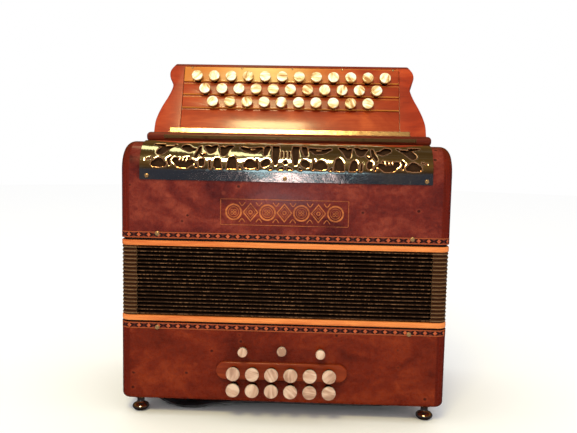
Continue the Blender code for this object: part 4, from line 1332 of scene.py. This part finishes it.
def make_bass_buttons():
    half_x, half_z = BUTTON_PLATE_HALF
    outline = rounded_outline(half_x, half_z, half_z * 0.98, (0, BASS_ROW_Z[0]), 10)
    plate = bevelled(prism(outline, (FRONT - BUTTON_PLATE_THICKNESS, FRONT + 0.0002)), 0.0009, 4)
    holes = [drill(x, z, BUTTON_PLATE_HOLE, (0.08, 0.11)) for x, z in bass_places()[:6]]
    piece("bass_button_plate", cut(plate, *holes), BASS, BUTTON_PLATE_WOOD, slot="burl_veneer")

    rng = random.Random(5)
    for index, place in enumerate(bass_places()):
        make_button(f"bass_button_{index // 6 + 1}_{index % 6 + 1}", place, BASS_BUTTON, rng.random(), BLACK)
    for index, place in enumerate(stop_places()):
        make_button(f"register_stop_{index + 1}", place, STOP_BUTTON, rng.random(), STEEL)
    make_button("air_button", AIR_BUTTON_PLACE, AIR_BUTTON, rng.random(), BLACK, BACKWARD)


# ---- end cover, feet and strap -----------------------------------------------------------------

def make_end_cover():
    low = BASS_BOTTOM + GAP
    cover = bevelled(inside_board(low, low + COVER_THICKNESS), 0.0005, 2)
    piece("end_cover_board", cover, BASS, COVER_WOOD, replaces=["bass_end_cover"], slot="end_cover_wood")
    bowl = ((0.0030, 0.0), (0.0062, 0.0008), (0.0083, 0.0030), (0.0084, 0.0048), (0.0072, 0.0064),
            (0.0044, 0.0082), (0.0036, 0.0105), (0.0037, 0.0128))
    collar = [(0.0062, 0.0140), (0.0066, 0.0148), (0.0062, 0.0156), (0.0048, 0.0164), (0.0048, low)]
    profile = [(0.0, 0.0), (0.0030, 0.0)] + [tuple(p) for p in smooth_path(bowl, 4)] + collar
    for side_x, name_x in LEFT_RIGHT:
        for side_y, name_y in FRONT_REAR:
            place = Matrix.Translation((side_x * FOOT_CENTRE[0], side_y * FOOT_CENTRE[1], 0))
            piece(f"{name_y}_{name_x}_foot", spin(profile, 40, place), BASS, FOOT_CHROME, slot="steel")


def strap_band(route):
    """Flat band along the route, with softened edges."""
    (near, far), soft = STRAP_Y, 0.0010
    softer = soft * 0.3
    rings = []
    for x, z in route:
        top = z + STRAP_THICKNESS
        edge = [(near + soft, z), (far - soft, z), (far - softer, z + softer), (far, z + soft),
                (far, top - soft), (far - softer, top - softer), (far - soft, top), (near + soft, top),
                (near + softer, top - softer), (near, top - soft), (near, z + soft),
                (near + softer, z + softer)]
        rings.append([(x, y, height) for y, height in edge])
    return loft(rings, capped=True)


def strap_stitches(route):
    """Two rows of short threads, lying along the band's underside near its edges."""
    half, spacing, margin = 0.0013, 0.0042, 0.0032
    thread = ((0.0001, -half), (0.0003, -half * 0.7), (0.0003, half * 0.7), (0.0001, half))
    stitches = []
    walked = 0.0
    for a, b in zip(route, route[1:]):
        walked += (b - a).length
        if walked < spacing:
            continue
        walked = 0.0
        way = (b - a).normalized()
        slope = Matrix.Rotation(-math.atan2(way.y, way.x), 4, "Y")
        for y in (STRAP_Y[0] + margin, STRAP_Y[1] - margin):
            stitches.append(spin(thread, 6, Matrix.Translation((b.x, y, b.y)) @ slope @ SIDEWAYS))
    return joined(*stitches)


def make_strap():
    route = smooth_path(STRAP_ROUTE)
    piece("strap_band", strap_band(route), BASS, STRAP_LEATHER, replaces=["hand_strap"], slot="strap_leather")
    piece("strap_stitching", strap_stitches(route), BASS, THREAD, slot="strap_leather")
    (near, far), anchor_x, screw_x, screw_z = STRAP_Y, 0.1325, 0.1335, 0.0134
    downward = Matrix.Rotation(math.pi, 4, "X")
    for side, name in LEFT_RIGHT:
        x = side * anchor_x
        clamp = box((x - 0.0035, near + 0.002, 0.0160), (x + 0.0035, far - 0.002, BASS_BOTTOM + GAP))
        piece(f"strap_anchor_{name}", bevelled(clamp, 0.0004, 2), BASS, STEEL, slot="strap_leather")
        for y, name_y in ((near + 0.012, "front"), (far - 0.012, "rear")):
            place = Matrix.Translation((side * screw_x, y, screw_z)) @ downward
            add_screw(f"strap_screw_{name}_{name_y}", BASS, 0.0026, 30, place)


# ---- carried-over nodes, stage, light and camera -----------------------------------------------

def finish_cad_nodes():
    """Gives the frame's own nodes that stay in view from inside their final looks."""
    for name, look in (("treble_soundboard", RAW_WOOD), ("treble_key_axle", STEEL)):
        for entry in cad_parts[name].material_slots:
            entry.material = look


def area_light(name, place, size, power, colour):
    """Rectangular light that looks at the middle of the instrument."""
    lamp = bpy.data.lights.new(name, "AREA")
    lamp.shape = "RECTANGLE"
    lamp.size, lamp.size_y = size
    lamp.energy = power
    lamp.color = colour
    thing = add_object(name, lamp)
    thing.location = place
    thing.rotation_euler = (Vector((0, 0, 0.25)) - Vector(place)).to_track_quat("-Z", "Y").to_euler()


def make_stage():
    """Pale floor, white surroundings and two soft lights."""
    floor_shape = bmesh.new()
    bmesh.ops.create_circle(floor_shape, cap_ends=True, segments=96, radius=4.0)
    paper = Look("floor_paper", roughness=0.9, specular_ior_level=0.0)
    floor = piece("floor", floor_shape, None, paper.done(srgb(252, 252, 252)))
    floor.visible_glossy = False
    reflected_room()

    world = bpy.data.worlds.new("studio")
    bpy.context.scene.world = world
    world.use_nodes = True
    world.node_tree.nodes["Background"].inputs["Color"].default_value = grey(1.0)
    world.node_tree.nodes["Background"].inputs["Strength"].default_value = 1.0
    bpy.context.scene.view_settings.view_transform = "Standard"

    area_light("key_softbox", (-0.16, -1.00, 1.175), (0.38, 0.22), 7.8, (1.0, 0.86, 0.40))
    area_light("overhead_softbox", (-0.35, -0.15, 1.50), (1.20, 0.16), 0.9, (1.0, 0.98, 0.52))


def reflected_room():
    """A dim room that only glossy surfaces see, with a cool window and a pale glare behind the camera."""
    radius = 4.5
    room = bmesh.new()
    bmesh.ops.create_uvsphere(room, u_segments=48, v_segments=24, radius=radius)
    look = Look("room_seen_in_gloss")
    x, y, z = look.parts(look.where())
    height = z / radius * 0.5 + 0.5
    shade = look.ramp(height, (0.0, srgb(16, 12, 10)), (0.47, srgb(42, 46, 58)), (0.53, srgb(50, 54, 66)),
                      (0.60, srgb(60, 44, 26)), (0.80, srgb(104, 74, 34)), (1.0, srgb(70, 52, 26)))
    patches = look.step(look.noise(look.where(), 1.6, 3, 0.6), 0.50, 0.64)
    shade = look.mix(patches * 0.4, shade, srgb(100, 88, 70))
    torn = look.step(look.noise(look.where((1, 1, 2.0)), 4.5, 4, 0.7), 0.46, 0.56)

    def bright_patch(centre, half_size, ragged):
        """Soft ellipse on the wall behind the camera: (x, z) centre, half size, and how torn it is."""
        across = (x - centre[0]) / half_size[0]
        up = (z - centre[1]) / half_size[1]
        soft = (1 - look.step(across * across + up * up, 0.0, 1.0)) * look.step(y, 0.0, -1.0)
        return soft * (torn * ragged + (1 - ragged))

    shade = look.mix(bright_patch((-0.12, 0.46), (0.58, 0.47), 0.95), shade, (1.2, 1.9, 2.3, 1.0))
    shade = look.mix(bright_patch((-0.19, -0.06), (0.40, 0.10), 0.75), shade, (4.4, 3.5, 3.7, 1.0))
    glow = look.signal("Emission", "Emission", {"Color": shade, "Strength": 1.0})
    look.feed(look.tree.nodes["Material Output"].inputs["Surface"], glow)
    shell = piece("reflected_room", room, None, look.material)
    shell.visible_camera = False
    shell.visible_diffuse = False
    shell.visible_shadow = False
    shell.visible_transmission = False
    return shell


def make_camera():
    """Camera in front of the instrument, looking slightly down and to the left."""
    lens = bpy.data.cameras.new("camera")
    lens.lens = 41.95
    lens.sensor_width = 36.0
    yaw, down, roll = math.radians(2.10), math.radians(5.88), math.radians(1.11)
    camera = add_object("camera", lens)
    camera.matrix_world = (Matrix.Translation((0.0280, -0.7445, 0.2733)) @ Matrix.Rotation(yaw, 4, "Z")
                           @ Matrix.Rotation(math.pi / 2 - down, 4, "X") @ Matrix.Rotation(roll, 4, "Z"))
    bpy.context.scene.camera = camera


make_camera()
make_stage()
make_treble_casing()
make_bass_casing()
make_reed_shelf()
make_frames()
make_bands()
make_marquetry()
make_pins()
make_grille()
make_fingerboard()
make_base_plate()
make_keys()
make_bellows()
make_bass_buttons()
make_end_cover()
make_strap()
finish_cad_nodes()

bpy.context.view_layer.update()
